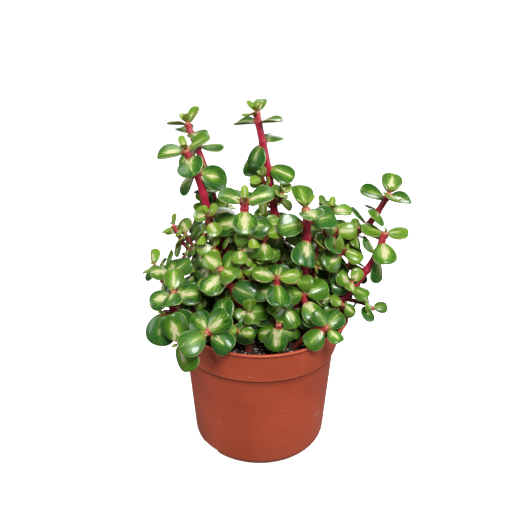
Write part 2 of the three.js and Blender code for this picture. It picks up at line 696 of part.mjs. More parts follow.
// A quarter round from the underside to the body, inset for the inner wall.
function footRound(inset, floor) {
  const round = FOOT_ROUND - inset;
  const steps = 2;
  const points = [];
  for (let i = 0; i <= steps; i++) {
    const angle = (i / steps) * (Math.PI / 2);
    const z = floor + round * (1 - Math.cos(angle));
    points.push([bodyRadius(z) - inset - round * (1 - Math.sin(angle)), z]);
  }
  return points;
}

// Inside of the wall, or of what fills it, up to the collar.
function innerProfile(inset) {
  const [low, high] = INNER_STEP.map((rise) => POT_HEIGHT - COLLAR_HEIGHT + rise);
  const step = [[BODY_TOP_RADIUS - inset, low], [COLLAR_FOOT_RADIUS - inset, high]];
  return [...footRound(inset, FLOOR + inset - WALL), ...step];
}

function potSolid() {
  const step = POT_HEIGHT - COLLAR_HEIGHT;
  const lip = POT_HEIGHT - LIP_HEIGHT;
  const outside = [
    ...footRound(0, 0), [BODY_TOP_RADIUS, step], [COLLAR_FOOT_RADIUS, step + BEVEL],
    [RIM_RADIUS - LIP_STEP, lip], [RIM_RADIUS, lip + BEVEL], [RIM_RADIUS - BEVEL, POT_HEIGHT],
  ];
  const inside = [...innerProfile(WALL), [RIM_RADIUS - LIP_STEP - WALL, POT_HEIGHT]];
  const turned = lathe([[0, 0], ...outside, ...inside.toReversed(), [0, FLOOR]], POT_SIDES);
  const pot = solidOf(bendRim(turned));
  return DRAIN_ANGLES.reduce((solid, angle) => solid.subtract(drainNotch(angle)), pot);
}

// A notch through the foot's corner, open below.
function drainNotch(angle) {
  const [inner, outer] = DRAIN_CUT;
  const geometry = new THREE.BoxGeometry(outer - inner, DRAIN_WIDTH, 2 * DRAIN_HEIGHT);
  geometry.translate((inner + outer) / 2, 0, 0);
  geometry.rotateZ(radians(angle));
  return solidOf(geometry);
}

function soilSolid(leaders) {
  const inset = WALL + FIT_GAP;
  const foot = COLLAR_FOOT_RADIUS - inset;
  const rim = RIM_RADIUS - LIP_STEP - inset;
  const share = (SOIL_EDGE - POT_HEIGHT + COLLAR_HEIGHT) / COLLAR_HEIGHT;
  const edge = foot + (rim - foot) * share;
  const top = [[edge, SOIL_EDGE], [0, SOIL_CROWN]];
  const filling = solidOf(lathe([[0, FLOOR + FIT_GAP], ...innerProfile(inset), ...top], POT_SIDES));
  return leaders.reduce((solid, leader) => solid.subtract(holeSolid(leader)), filling);
}

// The plain hole that a stem stands in.
function holeSolid(shoot) {
  const radius = shoot.foot + FIT_GAP / Math.cos(Math.PI / STEM_SIDES);
  const [x, y, z] = shoot.path.line[0];
  const low = z - ROOT_DEPTH - FIT_GAP;
  const high = POT_HEIGHT;
  const geometry = new THREE.CylinderGeometry(radius, radius, high - low, STEM_SIDES);
  geometry.rotateX(-Math.PI / 2);
  geometry.translate(x, y, (low + high) / 2);
  return solidOf(geometry);
}

// ---------------------------------------------------------------- the part
const potPlastic = new THREE.MeshStandardMaterial({ color: 0xaf5438, roughness: 0.6, metalness: 0 });
const pottingMix = new THREE.MeshStandardMaterial({ color: 0x2a2119, roughness: 0.95, metalness: 0 });
const foliage = new THREE.MeshStandardMaterial({ color: 0x5c9c3c, roughness: 0.35, metalness: 0 });

const { shoots, wood } = growShoots();
const leaves = placeLeaves(shoots, wood);

function leafyStem(stem, node) {
  const own = shoots.filter((shoot) => shoot.node === node);
  const pieces = own.map(stemSolid);
  pieces.push(...leaves.filter((leaf) => leaf.node === node).map(leafSolid));
  return meshOf(stem.name, wasm.Manifold.union(pieces), foliage);
}

const bush = new THREE.Group();
bush.add(meshOf("pot", potSolid(), potPlastic));
bush.add(meshOf("potting_mix", soilSolid(shoots.slice(0, STEMS.length)), pottingMix));
STEMS.forEach((stem, node) => bush.add(leafyStem(stem, node)));

export default bush;
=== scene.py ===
import math
from types import SimpleNamespace

import bmesh
import bpy
import numpy as np
from mathutils import Euler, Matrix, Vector, noise


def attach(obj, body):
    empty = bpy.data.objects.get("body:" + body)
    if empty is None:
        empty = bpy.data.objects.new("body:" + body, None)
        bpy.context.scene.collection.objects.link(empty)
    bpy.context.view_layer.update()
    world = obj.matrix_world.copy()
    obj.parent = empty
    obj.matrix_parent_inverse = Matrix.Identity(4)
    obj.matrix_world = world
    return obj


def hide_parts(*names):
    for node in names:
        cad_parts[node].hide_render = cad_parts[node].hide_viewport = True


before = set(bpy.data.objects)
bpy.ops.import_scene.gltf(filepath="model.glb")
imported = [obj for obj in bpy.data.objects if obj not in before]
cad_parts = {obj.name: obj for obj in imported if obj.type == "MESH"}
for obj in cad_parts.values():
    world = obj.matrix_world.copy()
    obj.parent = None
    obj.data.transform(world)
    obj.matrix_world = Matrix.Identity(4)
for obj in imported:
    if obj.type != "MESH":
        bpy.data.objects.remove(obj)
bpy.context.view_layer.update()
MM = 0.001

# ---- sizes of the solids, in millimetres
POT_HEIGHT = 100.8
RIM_RADIUS = 60.2
RIM_WIDTH = 3
RIM_BEND = 8
BEND_ANGLE = 0
BEND_SPREAD = 42
SOIL_CROWN = 91
SOIL_EDGE = 89.4
ROOT_DEPTH = 20

SPAN_STEPS = 10
SAMPLE_STEP = 2.5
RING_STEP = 16
FIRST_RING = 3  # where a rooted stem's first ring stands, of the radius at its foot
ELBOW_REACH = 0.7
ELBOW_RISE = 0.35
SPROUT_TURN = (0, 60)
SPROUT_REACH = (15, 25)
SPROUT_LEAF = (14, 17.5)
SPROUT_OUT = 0.72
SPROUT_UP = 0.85
SPROUT_ROOM = 6
SPROUT_FREE = 6
SPROUT_BEND = 12

TIP_PAIR = 1.4  # distance of the first pair from the tip
TIP_PAIRS = 2
PAIR_RISES = (34, 8, -18, -30, -36, -40)
THIRD_GAP = (0.75, 0.9)
OTHER_GAPS = (0.9, 1.1)
GROWTH = 0.45
TURN_SPREAD = (-12, 12)
RISE_SPREAD = (-10, 10)
ROLL_SPREAD = (-15, 15)
SIZE_SPREAD = (0.92, 1.08)
NECK = 0.8
ROOT_SINK = 0.6
LEAF_WIDTH = 0.95
LEAF_THICKNESS = 0.135
LEAF_ARCH = 0.1
LEAF_DISH = 0.1
FOOT_POWER = 0.62
END_POWER = 0.42
SWELL_POWERS = (0.35, 0.3)
SWELL_PEAK = 0.66
SAMPLE_ALONG = (0.12, 0.35, 0.55, 0.75, 0.95)
SAMPLE_ACROSS = (-0.92, -0.46, 0, 0.46, 0.92)
LEAF_GAP = 0.55
OWN_GAP = 0.05
POT_GAP = 0.95
AXIL = 7
INNER = (0.02, 0.98)
NEAR = 4
LEAF_LEAST = 7.5
LEAN = 0.5
LEAN_TOP = 205
LEAN_FADE = 40

# ---- sizes of what is finer than the solids
LEAF_RINGS, LEAF_SIDES = 13, 24
SMALL_LEAF, SMALL_RINGS, SMALL_SIDES = 12, 9, 16
BUD_RINGS, BUD_SIDES = 7, 12
EDGE_CROWD = 0.8  # below 1, points stand closer together at a leaf's edge
FOOT_SHARES = (0.004, 0.03)  # rings at a leaf's foot, of its length
LEAF_PLUMP = 2.4  # above 2, a leaf's section is fuller than an ellipse
LEAF_STALK = 0.055
STALK_END = 0.16
STALK_FLAT = 0.75
GROOVE = 0.035
GROOVE_WIDTH = 0.12
WAVE = 0.014
WAVES = 5
CUPS = (-0.4, 2.2)  # how much of the solid's dish a leaf has
TIP_CUP = -1.4
STEM_SIDES = 16
STEM_RING = 1.1
STEM_SINK = 6
TIP_CAP = ((0.12, 0.84), (0.28, 0.56), (0.4, 0.24))  # rise and size of a tip's last rings, of its radius
TIP_END = 0.5
JOINT_SWELL = 0.16
JOINT_REACH = 1.3
CM, DM = 10, 100

# buds: share of a full leaf, rise and lift of each pair at a tip
BUDS = ((0.3, 56, 0.2), (0.17, 72, 0.5))
BUD_TALL = 175  # above this height, tips have larger buds
BUD_LOW_SHARE = 0.62
BUD_TALL_SHARE = 1.5
BUD_WIDTH = 0.62
BUD_LEAST = 2.4
BUD_LIGHT = 0.5
BUD_NECK = 0.3
BUD_CUP = -1
BUD_RISE_SPREAD = (-8, 8)
AXIL_SHARE = 0.5
AXIL_LIFT = 1.1
AXIL_OUT = 1.1
AXIL_LEAN = 0.7
AXIL_SIZE = (2.6, 4.2)
AXIL_RISE = (40, 65)

# young shoots: from YOUNG_START over a stem's foot to YOUNG_END under its tip
YOUNG_START = 12
YOUNG_END = 20
YOUNG_HIGH = 172
YOUNG_HIGH_BACK = 192
YOUNG_LOW = 138
YOUNG_BARE = ("right_front", "long_right_upper", "long_right_lower")  # none above YOUNG_LOW on these
YOUNG_STEP = (6, 10)
YOUNG_REACH = (5, 10)
YOUNG_RISE = 0.6
YOUNG_FOOT = 1.1
YOUNG_TOP = 0.8
YOUNG_PAIRS = (0.5, 2.2)  # distances of the two pairs from the tip
YOUNG_LEAF = (7.5, 13)
YOUNG_LEAF_LEAST = 5
YOUNG_GROWTH = 0.25
YOUNG_RISES = (30, -5)
YOUNG_LIGHT = 0.6
YOUNG_LEAST = 2  # a young shoot has more leaves than this
YOUNG_ROOM = 1.2
YOUNG_NEAR = 45
YOUNG_TURN = (-60, 60)
YOUNG_OUT = 58

# age of a leaf, from its size, its pair and its height
AGE_SHARES = (0.4, 0.3, 0.3)
AGE_SIZE = (9, 12)
AGE_PAIRS = 4
AGE_HEIGHT = (150, 50)

# seeds, to which the number of the stem, shoot or pair is added
SEED_GAPS, SEED_SPROUTS, SEED_YOUNG, SEED_LOOKS = 500, 1000, 4000, 300
SEED_AXILS, SEED_TIPS = 7000, 9000
SEED_PAIR = (77, 31, 977)

# ---- pot and mix, in millimetres
LIP_HEIGHT = 2.2
LIP_STEP = 0.7
LIP_EASE = 0.1
COLLAR_HEIGHT = 21.7
COLLAR_FOOT_RADIUS = 58.4
COLLAR_ROUND = 0.75
BODY_TOP_RADIUS = 57
FOOT_RADIUS = 51.3
FOOT_ROUND = 8.5
WALL = 1.4
FLOOR = 2.2
FLOOR_RINGS = (20, 38)
BODY_RING = 45
FIT_GAP = 0.3
INNER_STEP = (1, 2.2)
POT_SIDES = 192
DRAIN_ANGLES = (-138, 42)
DRAIN_WIDTH = 18
DRAIN_HEIGHT = 7
DRAIN_CUT = (44, 56.3)
SCUFFS = ((-123, 37.5, 8, 4.5), (-100, 47, 12, 3), (-36, 34.5, 11, 8), (-59, 90, 6, 4))  # angle, height, size
HAIR = (-124, 89, 0.34, 3.6)  # angle, height, bend and reach of the pale hair on the collar

SOIL_RADIUS = 57.1
SOIL_SHOULDER = 1
SOIL_RING = 25
SOIL_RINGS = 48
SOIL_SIDES = 160
SOIL_DROP = 0.5
LUMPS = ((0.11, 0.9), (0.3, 0.6), (0.8, 0.35))  # fineness and share of each size of lump
LUMP_HEIGHT = 0.7
GRIT_RINGS = ((-0.75, 4), (-0.1, 5), (0.65, 4))  # height and number of points of a grain's rings
GRIT_OUT = (0.7, 1.1)
GRIT_UP = (0.8, 1.1)
GRIT_WIDE = (0.5, 1)
GRIT_HIGH = (0.4, 0.8)
GRIT_SKEW = 0.3
GRIT_TIP = (-0.6, 0.6)
GRIT_EDGE = 1.8
GRIT_GAP = 0.5
GRIT_RISE = 0.2
ALL_ROUND = (0, 360)
GRIT = (  # count, sizes, tones, seed, shares of the way out and angles of each layer
    (900, (0.7, 1.8), (0.0, 1.0), 41, (0, 1), ALL_ROUND),
    (130, (1.6, 3.2), (0.2, 1.0), 43, (0, 1), ALL_ROUND),
    (190, (1.8, 3.8), (0.58, 1.0), 47, (0.72, 1), (-118, -62)),
    (160, (1.2, 3.2), (0.55, 1.0), 53, (0.55, 1), ALL_ROUND),
)

# ---- stage, in millimetres, metres and watts
STAGE_FLAT = 1400
STAGE_CURVE = 700
STAGE_TOP = 1500
STAGE_SIDES = 64
STAGE_GAP = 0.2
FLOOR_GLOW = 1
WORLD_LIGHT = 0.16
LIGHT_AIM = (0, 0, 0.14)
LIGHTS = dict(  # place, size and power of each soft light
    key=((0.2, -0.75, 0.95), 0.34, 13.5),
    top=((-0.2, 0.25, 1.1), 0.6, 4),
    fill=((-1.0, -0.35, 0.45), 0.6, 5),
    side=((1.0, -0.25, 0.45), 0.6, 4),
    back=((0.3, 1.0, 0.6), 0.6, 5),
)
CAMERA_PLACE = (0, -0.36, 0.2812)
CAMERA_LENS = 36.58
CAMERA_SENSOR = 36
CAMERA_PITCH = 20.16
CAMERA_TURN = 0.44


# ---- the stems
# A stem runs through its points, from the mix up, and a side shoot from a share of its stem to its tip.
# foot and top are its radii. turn, leaf and droop say how its leaves turn, how large they get and how far
# they droop, and young is the share of that size in the youngest pair. step and gap space the pairs, and
# bare is the length without any. light, tip_share and face turn leaves to the front. sprouts is how many
# small shoots the rule may add.
STEM = dict(
    foot=2.7, top=2, turn=0, leaf=19, young=0.75, step=6, gap=13,
    droop=0, light=0.5, tip_share=1, bare=24, sprouts=0, shoots=[], face=None,
)
SHOOT = dict(STEM, foot=1.7, top=1.3, turn=45, leaf=15, step=5, gap=9, light=0.4, bare=5)
STEMS = dict(
    tall_left=dict(
        points=[[-20, -8, 90], [-28, -9, 130], [-38.3, -12, 197], [-48.6, -15, 229]],
        foot=3.3, top=2.5, step=3.5, gap=15, leaf=19.5, young=0.9, droop=14, light=0.8, tip_share=0.4,
        bare=50, sprouts=1,
        shoots=[
            dict(share=0.42, tip=[-62.8, 0, 173], turn=20, leaf=12),
            dict(share=0.46, tip=[-53.6, -6, 168], turn=70, leaf=17),
            dict(share=0.6, tip=[-35, -22, 187], turn=10, leaf=12.5, light=0.6),
            dict(share=0.4, tip=[-24, -8, 166], turn=40, leaf=17, light=1),
        ],
    ),
    tall_centre=dict(
        points=[[9, 12, 90], [12.8, 11, 154], [9.5, 10, 188.6], [4, 10, 220], [-2.7, 10, 251]],
        foot=3.3, top=2.4, turn=60, gap=17, young=0.62, droop=8, light=1, tip_share=0.3, bare=56,
        sprouts=1,
        shoots=[
            dict(share=0.6, tip=[16, 2, 196], turn=80, leaf=12.5),
            dict(share=0.68, tip=[1.4, 4, 207], turn=20, leaf=12),
            dict(share=0.45, tip=[17, -10, 172], turn=0, leaf=15, droop=20),
        ],
    ),
    centre_front=dict(
        points=[[-5, -16, 90], [-11.8, -22, 156], [-9.9, -25, 197]],
        foot=3.2, top=2.7, step=4, gap=14, leaf=20, young=0.88, droop=16, light=0.8, tip_share=0.25,
        bare=44, sprouts=2,
        shoots=[dict(share=0.6, tip=[-29, -8, 167], turn=30)],
    ),
    right_front=dict(
        points=[[20, -12, 90], [31, -19, 140], [32.1, -20, 176.5], [30.9, -20, 191]],
        foot=3.3, top=2.8, turn=110, step=9, leaf=20, young=0.85, droop=8, bare=36, sprouts=2,
    ),
    right_upright=dict(
        points=[[26, 8, 90], [42, 8, 125], [48, 8, 160], [50.8, 8, 182]],
        top=2.1, turn=10, leaf=19.5, bare=40, light=0.8,
        shoots=[
            dict(share=0.72, tip=[55, -4, 171], turn=20, leaf=18, light=1),
            dict(share=0.6, tip=[61, -8, 158], turn=0, leaf=19, light=1),
        ],
    ),
    long_right_upper=dict(
        points=[[38, 14, 90], [52, 14, 135], [67.9, 11, 162], [80, 10, 170], [94, 10, 194]],
        foot=3, top=2.2, turn=90, step=3, gap=14, leaf=18.5, young=0.9, bare=50, sprouts=1,
        face=[0.2, -0.35, 0.9],
        shoots=[dict(share=0.6, tip=[72, 1, 171], turn=30, leaf=12.5)],
    ),
    long_right_lower=dict(
        points=[[33, -8, 90], [51.2, -12, 109], [73, -9, 135], [83.8, -7, 152.2], [89.4, -5, 169]],
        foot=3.5, top=2.3, step=5, gap=14, leaf=18.5, young=0.85, droop=16, bare=30,
        face=[0.1, -0.45, 0.85],
        shoots=[
            dict(share=0.5, tip=[66.3, -16, 136], turn=80, leaf=15),
            dict(share=0.36, tip=[60, -24, 121], turn=0, leaf=14, droop=30),
            dict(share=0.42, tip=[83, -18, 114.4], turn=20, leaf=13.5, face=[0.4, -0.4, 0.8]),
        ],
    ),
    low_right_front=dict(
        points=[[26, -30, 90], [37, -38, 107], [46.8, -48, 115]],
        foot=2.5, turn=135, step=3, gap=10, leaf=18, young=0.68, droop=8, bare=18, face=[0.1, -0.7, 0.7],
    ),
    low_left_front=dict(
        points=[[-20, -28, 90], [-19, -38, 110], [-24, -48, 116.5], [-35.7, -58, 116]],
        foot=2.5, turn=30, step=3, gap=11, leaf=18.5, young=0.95, droop=12, bare=18,
        face=[-0.15, -0.8, 0.6],
        shoots=[
            dict(share=0.5, tip=[-13, -53, 115], turn=10, leaf=12, droop=20),
            dict(
                share=0.55, tip=[-55, -52, 105], turn=58, leaf=21, young=0.98, droop=32,
                face=[-0.2, -1, 0.2],
            ),
        ],
    ),
    left_front=dict(
        points=[[-30, -17, 90], [-44, -24, 110], [-60, -34, 122], [-58.4, -36, 137]],
        foot=2.5, top=1.9, turn=90, step=3, gap=12, leaf=18, young=0.85, droop=12, bare=18, sprouts=1,
        face=[-0.1, -0.5, 0.85],
        shoots=[
            dict(
                share=0.7, tip=[-66, -38, 122], turn=40, leaf=23, young=0.95, droop=32,
                face=[-0.2, -1, 0.3],
            ),
            dict(share=0.5, tip=[-44, -26, 133], turn=30, leaf=12),
        ],
    ),
    left=dict(
        points=[[-35, -4, 90], [-54, -8, 120], [-63.6, -14, 141]],
        turn=20, step=3, gap=10, leaf=18.5, young=0.85, droop=10, bare=22, sprouts=1, face=[-0.1, -0.35, 0.9],
        shoots=[dict(share=0.6, tip=[-78, -2, 143], turn=60, leaf=16)],
    ),
    front_left_inner=dict(
        points=[[-8, -34, 90], [-9, -33, 112], [-16, -32, 131], [-26.5, -37, 154]],
        turn=130, step=4, gap=12, young=0.8, droop=5, bare=18, sprouts=1, face=[-0.2, -0.5, 0.85],
    ),
    front_centre=dict(
        points=[[10, -26, 90], [12, -33, 120], [11.4, -39, 149]],
        foot=2.5, step=4, gap=12, leaf=18.5, young=0.85, droop=8, bare=18, sprouts=1,
        face=[0, -0.5, 0.85],
        shoots=[dict(share=0.35, tip=[18, -32, 129], turn=60, leaf=19, droop=40)],
    ),
    front_right_inner=dict(
        points=[[35, -22, 90], [34, -25, 112], [30, -27, 132]],
        turn=30, step=5, gap=11, leaf=19.5, young=0.85, droop=20, bare=14, sprouts=1,
    ),
    low_front=dict(
        points=[[13, -40, 90], [13, -43, 116]],
        foot=2.2, turn=90, step=5, gap=8, leaf=16.5, young=0.95, droop=70, bare=10,
    ),
    tall_left_back=dict(
        points=[[-14, 20, 90], [-24, 20, 140], [-38.3, 20, 203], [-52.5, 24, 242]],
        foot=3.1, top=2.2, turn=20, gap=14, leaf=17.5, droop=6, light=0.4, bare=50, sprouts=1,
    ),
    left_outer=dict(
        points=[[-42, 11, 90], [-60, 18, 112], [-76, 27, 130]],
        turn=30, gap=12, bare=18, light=0.1, sprouts=2,
    ),
    back_left=dict(
        points=[[-30, 20, 90], [-44, 38, 125], [-56, 50, 158]],
        foot=2.5, turn=30, leaf=20, bare=14, light=0.1, sprouts=2,
    ),
    back_centre_left=dict(
        points=[[-12, 36, 90], [-17, 54, 122], [-22, 64, 156]],
        turn=10, leaf=20, bare=14, light=0.1, sprouts=2,
    ),
    back_centre=dict(
        points=[[8, 32, 90], [14, 44, 130], [12, 50, 174]],
        foot=2.6, top=1.9, turn=50, leaf=20, bare=20, light=0.1, sprouts=2,
    ),
    back_right=dict(
        points=[[26, 28, 90], [42, 46, 120], [54, 58, 152]],
        foot=2.5, turn=20, leaf=20, bare=14, light=0.1, sprouts=2,
    ),
    right_outer=dict(
        points=[[44, 2, 90], [60, 16, 112], [74, 30, 136]],
        turn=30, gap=12, bare=20, light=0.1, sprouts=2,
    ),
)


# ---- vectors
def unit(vector):
    return vector / np.linalg.norm(vector)


def between(low_high, random):
    return low_high[0] + (low_high[1] - low_high[0]) * random()


def draws(seed):
    """The small seeded generator that the solids use."""
    state = seed & 0xFFFFFFFF

    def random():
        nonlocal state
        state = (state * 1664525 + 1013904223) & 0xFFFFFFFF
        return state / 4294967296

    return random


# ---- stems
def curve(points):
    """A Catmull-Rom curve through the points, as a polyline with the distance along it."""
    points = [np.array(point, float) for point in points]
    ends = [2 * points[0] - points[1], *points, 2 * points[-1] - points[-2]]
    line = [points[0]]
    for p0, p1, p2, p3 in zip(ends, ends[1:], ends[2:], ends[3:]):
        square = 2 * p0 - 5 * p1 + 4 * p2 - p3
        cube = 3 * p1 - p0 - 3 * p2 + p3
        for step in range(1, SPAN_STEPS + 1):
            t = step / SPAN_STEPS
            line.append((2 * p1 + (p2 - p0) * t + square * t**2 + cube * t**3) / 2)
    steps = [np.linalg.norm(b - a) for a, b in zip(line, line[1:])]
    along = np.concatenate([[0], np.cumsum(steps)])
    return SimpleNamespace(line=np.array(line), along=along, total=float(along[-1]))


def at(path, distance):
    """The point and direction at a distance along a curve."""
    s = min(max(distance, 0), path.total)
    i = min(max(int(np.searchsorted(path.along, s)), 1), len(path.along) - 1)
    t = (s - path.along[i - 1]) / (path.along[i] - path.along[i - 1])
    before, after = max(i - 2, 0), min(i + 1, len(path.line) - 1)
    point = path.line[i - 1] * (1 - t) + path.line[i] * t
    return point, unit(path.line[after] - path.line[before])


def across(axis):
    """Directions across a stem: to +X and to +Y on an upright one."""
    side = unit(np.cross([0, 1, 0], axis))
    return side, np.cross(axis, side)


def outwards(side, back, turn):
    """The direction out of a stem at a turn from +X, in degrees."""
    return side * math.cos(math.radians(turn)) + back * math.sin(math.radians(turn))


def radius_at(shoot, distance):
    return shoot.foot + (shoot.top - shoot.foot) * distance / shoot.path.total


def wood_of(shoot):
    """Points that stand for a stem's wood: a row of x, y, z, radius, node and distance for each."""
    steps = np.arange(0, shoot.path.total + 1e-9, SAMPLE_STEP)
    return [[*at(shoot.path, s)[0], radius_at(shoot, s), shoot.node, s] for s in steps]


def pair_distances(shoot, random):
    """Distances of a shoot's leaf pairs from its tip. The first always stands."""
    distances = [TIP_PAIR, TIP_PAIR + shoot.step]
    room = max(shoot.path.total - shoot.bare, TIP_PAIR)
    following = distances[-1] + shoot.gap * between(THIRD_GAP, random)
    while following < room:
        distances.append(following)
        following += shoot.gap * between(OTHER_GAPS, random)
    return [from_tip for from_tip in distances if from_tip <= room]


def first_ring(shoot):
    return shoot.foot * FIRST_RING if shoot.leader else 0


def ring_distances(shoot):
    first = first_ring(shoot)
    room = shoot.path.total - first
    spans = max(3 if shoot.leader else 2, math.floor(room / RING_STEP + 0.5))
    return [first + room * i / spans for i in range(spans + 1)]


def core_at(shoot, distance):
    """The middle of the straight run between two rings of the solid, where a leaf's root sits."""
    rings = ring_distances(shoot)
    following = max(next(i for i, ring in enumerate(rings) if ring >= distance), 1)
    before, after = rings[following - 1], rings[following]
    t = (distance - before) / (after - before)
    return at(shoot.path, before)[0] * (1 - t) + at(shoot.path, after)[0] * t


def elbow_of(start, tip):
    """A side shoot leaves its stem sideways and then turns up."""
    return start + (tip - start) * [ELBOW_REACH, ELBOW_REACH, ELBOW_RISE]


def side_shoot(leader, start, tip, **facts):
    tip = np.array(tip, float)
    path = curve([start, elbow_of(start, tip), tip])
    return SimpleNamespace(**{**SHOOT, **facts, "node": leader.node, "path": path, "leader": False})


def is_crowded(sprout, wood):
    """Whether a sprout comes too near other stems, or past its bend too near its own."""
    places = np.array(wood_of(sprout))
    places = places[places[:, 5] > SPROUT_FREE]
    away = np.linalg.norm(places[:, None, :3] - wood[None, :, :3], axis=2)
    other = (wood[None, :, 4] != sprout.node) | (places[:, None, 5] > SPROUT_BEND)
    return bool(np.any(other & (away < SPROUT_ROOM)))


def sprout_at(leader, from_tip, turn, random):
    """A short side shoot that bends upwards, in a leaf axil of its leader."""
    from_root = leader.path.total - from_tip
    foot = core_at(leader, from_root)
    along = at(leader.path, from_root)[1]
    out = outwards(*across(along), turn + between(SPROUT_TURN, random))
    up = unit(along + [0, 0, 1])
    reach = between(SPROUT_REACH, random)
    tip = foot + out * SPROUT_OUT * reach + up * SPROUT_UP * reach
    turned = 90 * random()
    return side_shoot(leader, foot, tip, turn=turned, leaf=between(SPROUT_LEAF, random))


def sprouts_of(leader, random, wood):
    """A leader's sprouts, from the lowest pair of leaves up, where there is room."""
    sprouts = []
    for from_tip in reversed(pair_distances(leader, draws(SEED_GAPS + leader.node))[TIP_PAIRS:]):
        for turn in (0, 90, 180, 270):
            if len(sprouts) == leader.sprouts:
                return sprouts
            sprout = sprout_at(leader, from_tip, turn, random)
            low = sprout.path.line[SPAN_STEPS][2] < POT_HEIGHT
            if not low and not is_crowded(sprout, wood):
                sprouts.append(sprout)
                break
    return sprouts


def grow_shoots():
    shoots = []
    for node, (name, stem) in enumerate(STEMS.items()):
        facts = {**STEM, **stem, "name": name, "node": node, "path": curve(stem["points"]), "leader": True}
        shoots.append(SimpleNamespace(**facts))
    leaders = list(shoots)
    for leader in leaders:
        for side in leader.shoots:
            start = core_at(leader, side["share"] * leader.path.total)
            shoots.append(side_shoot(leader, start, **side))
    wood = np.array([row for shoot in shoots for row in wood_of(shoot)])
    for leader in leaders:
        sprouts = sprouts_of(leader, draws(SEED_SPROUTS + leader.node), wood)
        shoots += sprouts
        wood = np.vstack([wood, *[wood_of(sprout) for sprout in sprouts]])
    return shoots, wood


# ---- where the leaves stand
def outline_shape(t):
    return t**FOOT_POWER * (1 - t) ** END_POWER


OUTLINE_PEAK = outline_shape(FOOT_POWER / (FOOT_POWER + END_POWER))


def outline_at(t):
    """Half width at a share of the length, as a share of the half width."""
    return outline_shape(t) / OUTLINE_PEAK


def swell_at(t):
    """Half thickness, as a share of the half thickness at the crest."""
    foot, end = SWELL_POWERS
    return t**foot * (1 - t) ** end / SWELL_PEAK


def fall_at(leaf, t, v):
    """Height of a leaf's middle surface over its own plane."""
    edge = v / (leaf.width / 2)
    return -leaf.size * LEAF_ARCH * t**2 - leaf.width * LEAF_DISH * edge**2


SAMPLE_T, SAMPLE_V = (grid.ravel() for grid in np.meshgrid(SAMPLE_ALONG, SAMPLE_ACROSS, indexing="ij"))


def on_leaf(leaf, t, v, w):
    """Points given in a leaf's own frame."""
    stretch = leaf.neck + t * leaf.size
    return leaf.root + np.outer(stretch, leaf.along) + np.outer(v, leaf.across) + np.outer(w, leaf.upper)


def frame_leaf(leaf):
    """A leaf's directions, and the balls that stand for it in the clearance test."""
    rise, roll = math.radians(leaf.rise), math.radians(leaf.roll)
    out = outwards(leaf.side, leaf.back, leaf.turn)
    leaf.along = out * math.cos(rise) + leaf.axis * math.sin(rise)
    upper = leaf.axis * math.cos(rise) - out * math.sin(rise)
    flat = np.cross(upper, leaf.along)
    leaf.across = flat * math.cos(roll) + upper * math.sin(roll)
    leaf.upper = np.cross(leaf.along, leaf.across)
    leaf.width = leaf.size * LEAF_WIDTH
    leaf.thick = leaf.size * LEAF_THICKNESS / 2
    leaf.middle = leaf.root + leaf.along * (leaf.neck + leaf.size * 0.5)
    v = outline_at(SAMPLE_T) * leaf.width / 2 * SAMPLE_V
    leaf.points = on_leaf(leaf, SAMPLE_T, v, fall_at(leaf, SAMPLE_T, v))
    leaf.radii = leaf.thick * swell_at(SAMPLE_T) * np.sqrt(1 - SAMPLE_V**2)
    return leaf


def meets(leaf, points, radii, gap):
    """Whether any of the balls comes within a gap of a leaf."""
    away = points - leaf.root
    t = (away @ leaf.along - leaf.neck) / leaf.size
    reach = (radii + gap) / leaf.size
    inner = np.clip(t, *INNER)
    half = outline_at(inner) * leaf.width / 2
    v = away @ leaf.across
    share = np.minimum(np.abs(v) / half, 1)
    swell = leaf.thick * swell_at(inner) * np.sqrt(1 - share**2)
    near = np.abs(away @ leaf.upper - fall_at(leaf, inner, v)) < swell + radii + gap
    return bool(np.any(near & (t >= -reach) & (t <= 1 + reach) & (np.abs(v) <= half + radii + gap)))


def bend_at(x, y, z):
    """How far the collar is bent out at places: most at the rim, and nothing at its foot."""
    turned = np.abs(np.degrees(np.arctan2(y, x)) - BEND_ANGLE)
    rise = (z - POT_HEIGHT + COLLAR_HEIGHT) / COLLAR_HEIGHT
    bend = RIM_BEND * rise * np.cos(np.radians(90 * turned / BEND_SPREAD)) ** 2
    return np.where((turned > BEND_SPREAD) | (rise < 0), 0, bend)


def meets_pot(leaf):
    out = np.hypot(leaf.points[:, 0], leaf.points[:, 1]) - bend_at(*leaf.points.T)
    height, gap = leaf.points[:, 2], leaf.radii + POT_GAP
    past = (height > POT_HEIGHT + gap) | (out > RIM_RADIUS + gap)
    return bool(np.any(~past & ((out > RIM_RADIUS - RIM_WIDTH - gap) | (height < SOIL_CROWN + gap))))


def is_clear(leaf, leaves, wood):
    """Whether a leaf keeps clear of the pot, of other leaves and of stems, but for its own pair and root."""
    if meets_pot(leaf):
        return False
    for other in leaves:
        if other.pair == leaf.pair:
            continue
        if np.linalg.norm(leaf.middle - other.middle) > leaf.size / 2 + leaf.neck + other.size / 2 + NEAR:
            continue
        gap = OWN_GAP if other.node == leaf.node else LEAF_GAP
        if meets(other, leaf.points, leaf.radii, gap) or meets(leaf, other.points, other.radii, gap):
            return False
    away = np.linalg.norm(wood[:, :3] - leaf.middle, axis=1)
    near = away <= leaf.size / 2 + leaf.neck + wood[:, 3] + NEAR
    own = (wood[:, 4] == leaf.node) & (np.linalg.norm(wood[:, :3] - leaf.root, axis=1) < AXIL)
    piece = wood[near & ~own]
    return not meets(leaf, piece[:, :3], piece[:, 3], LEAF_GAP)


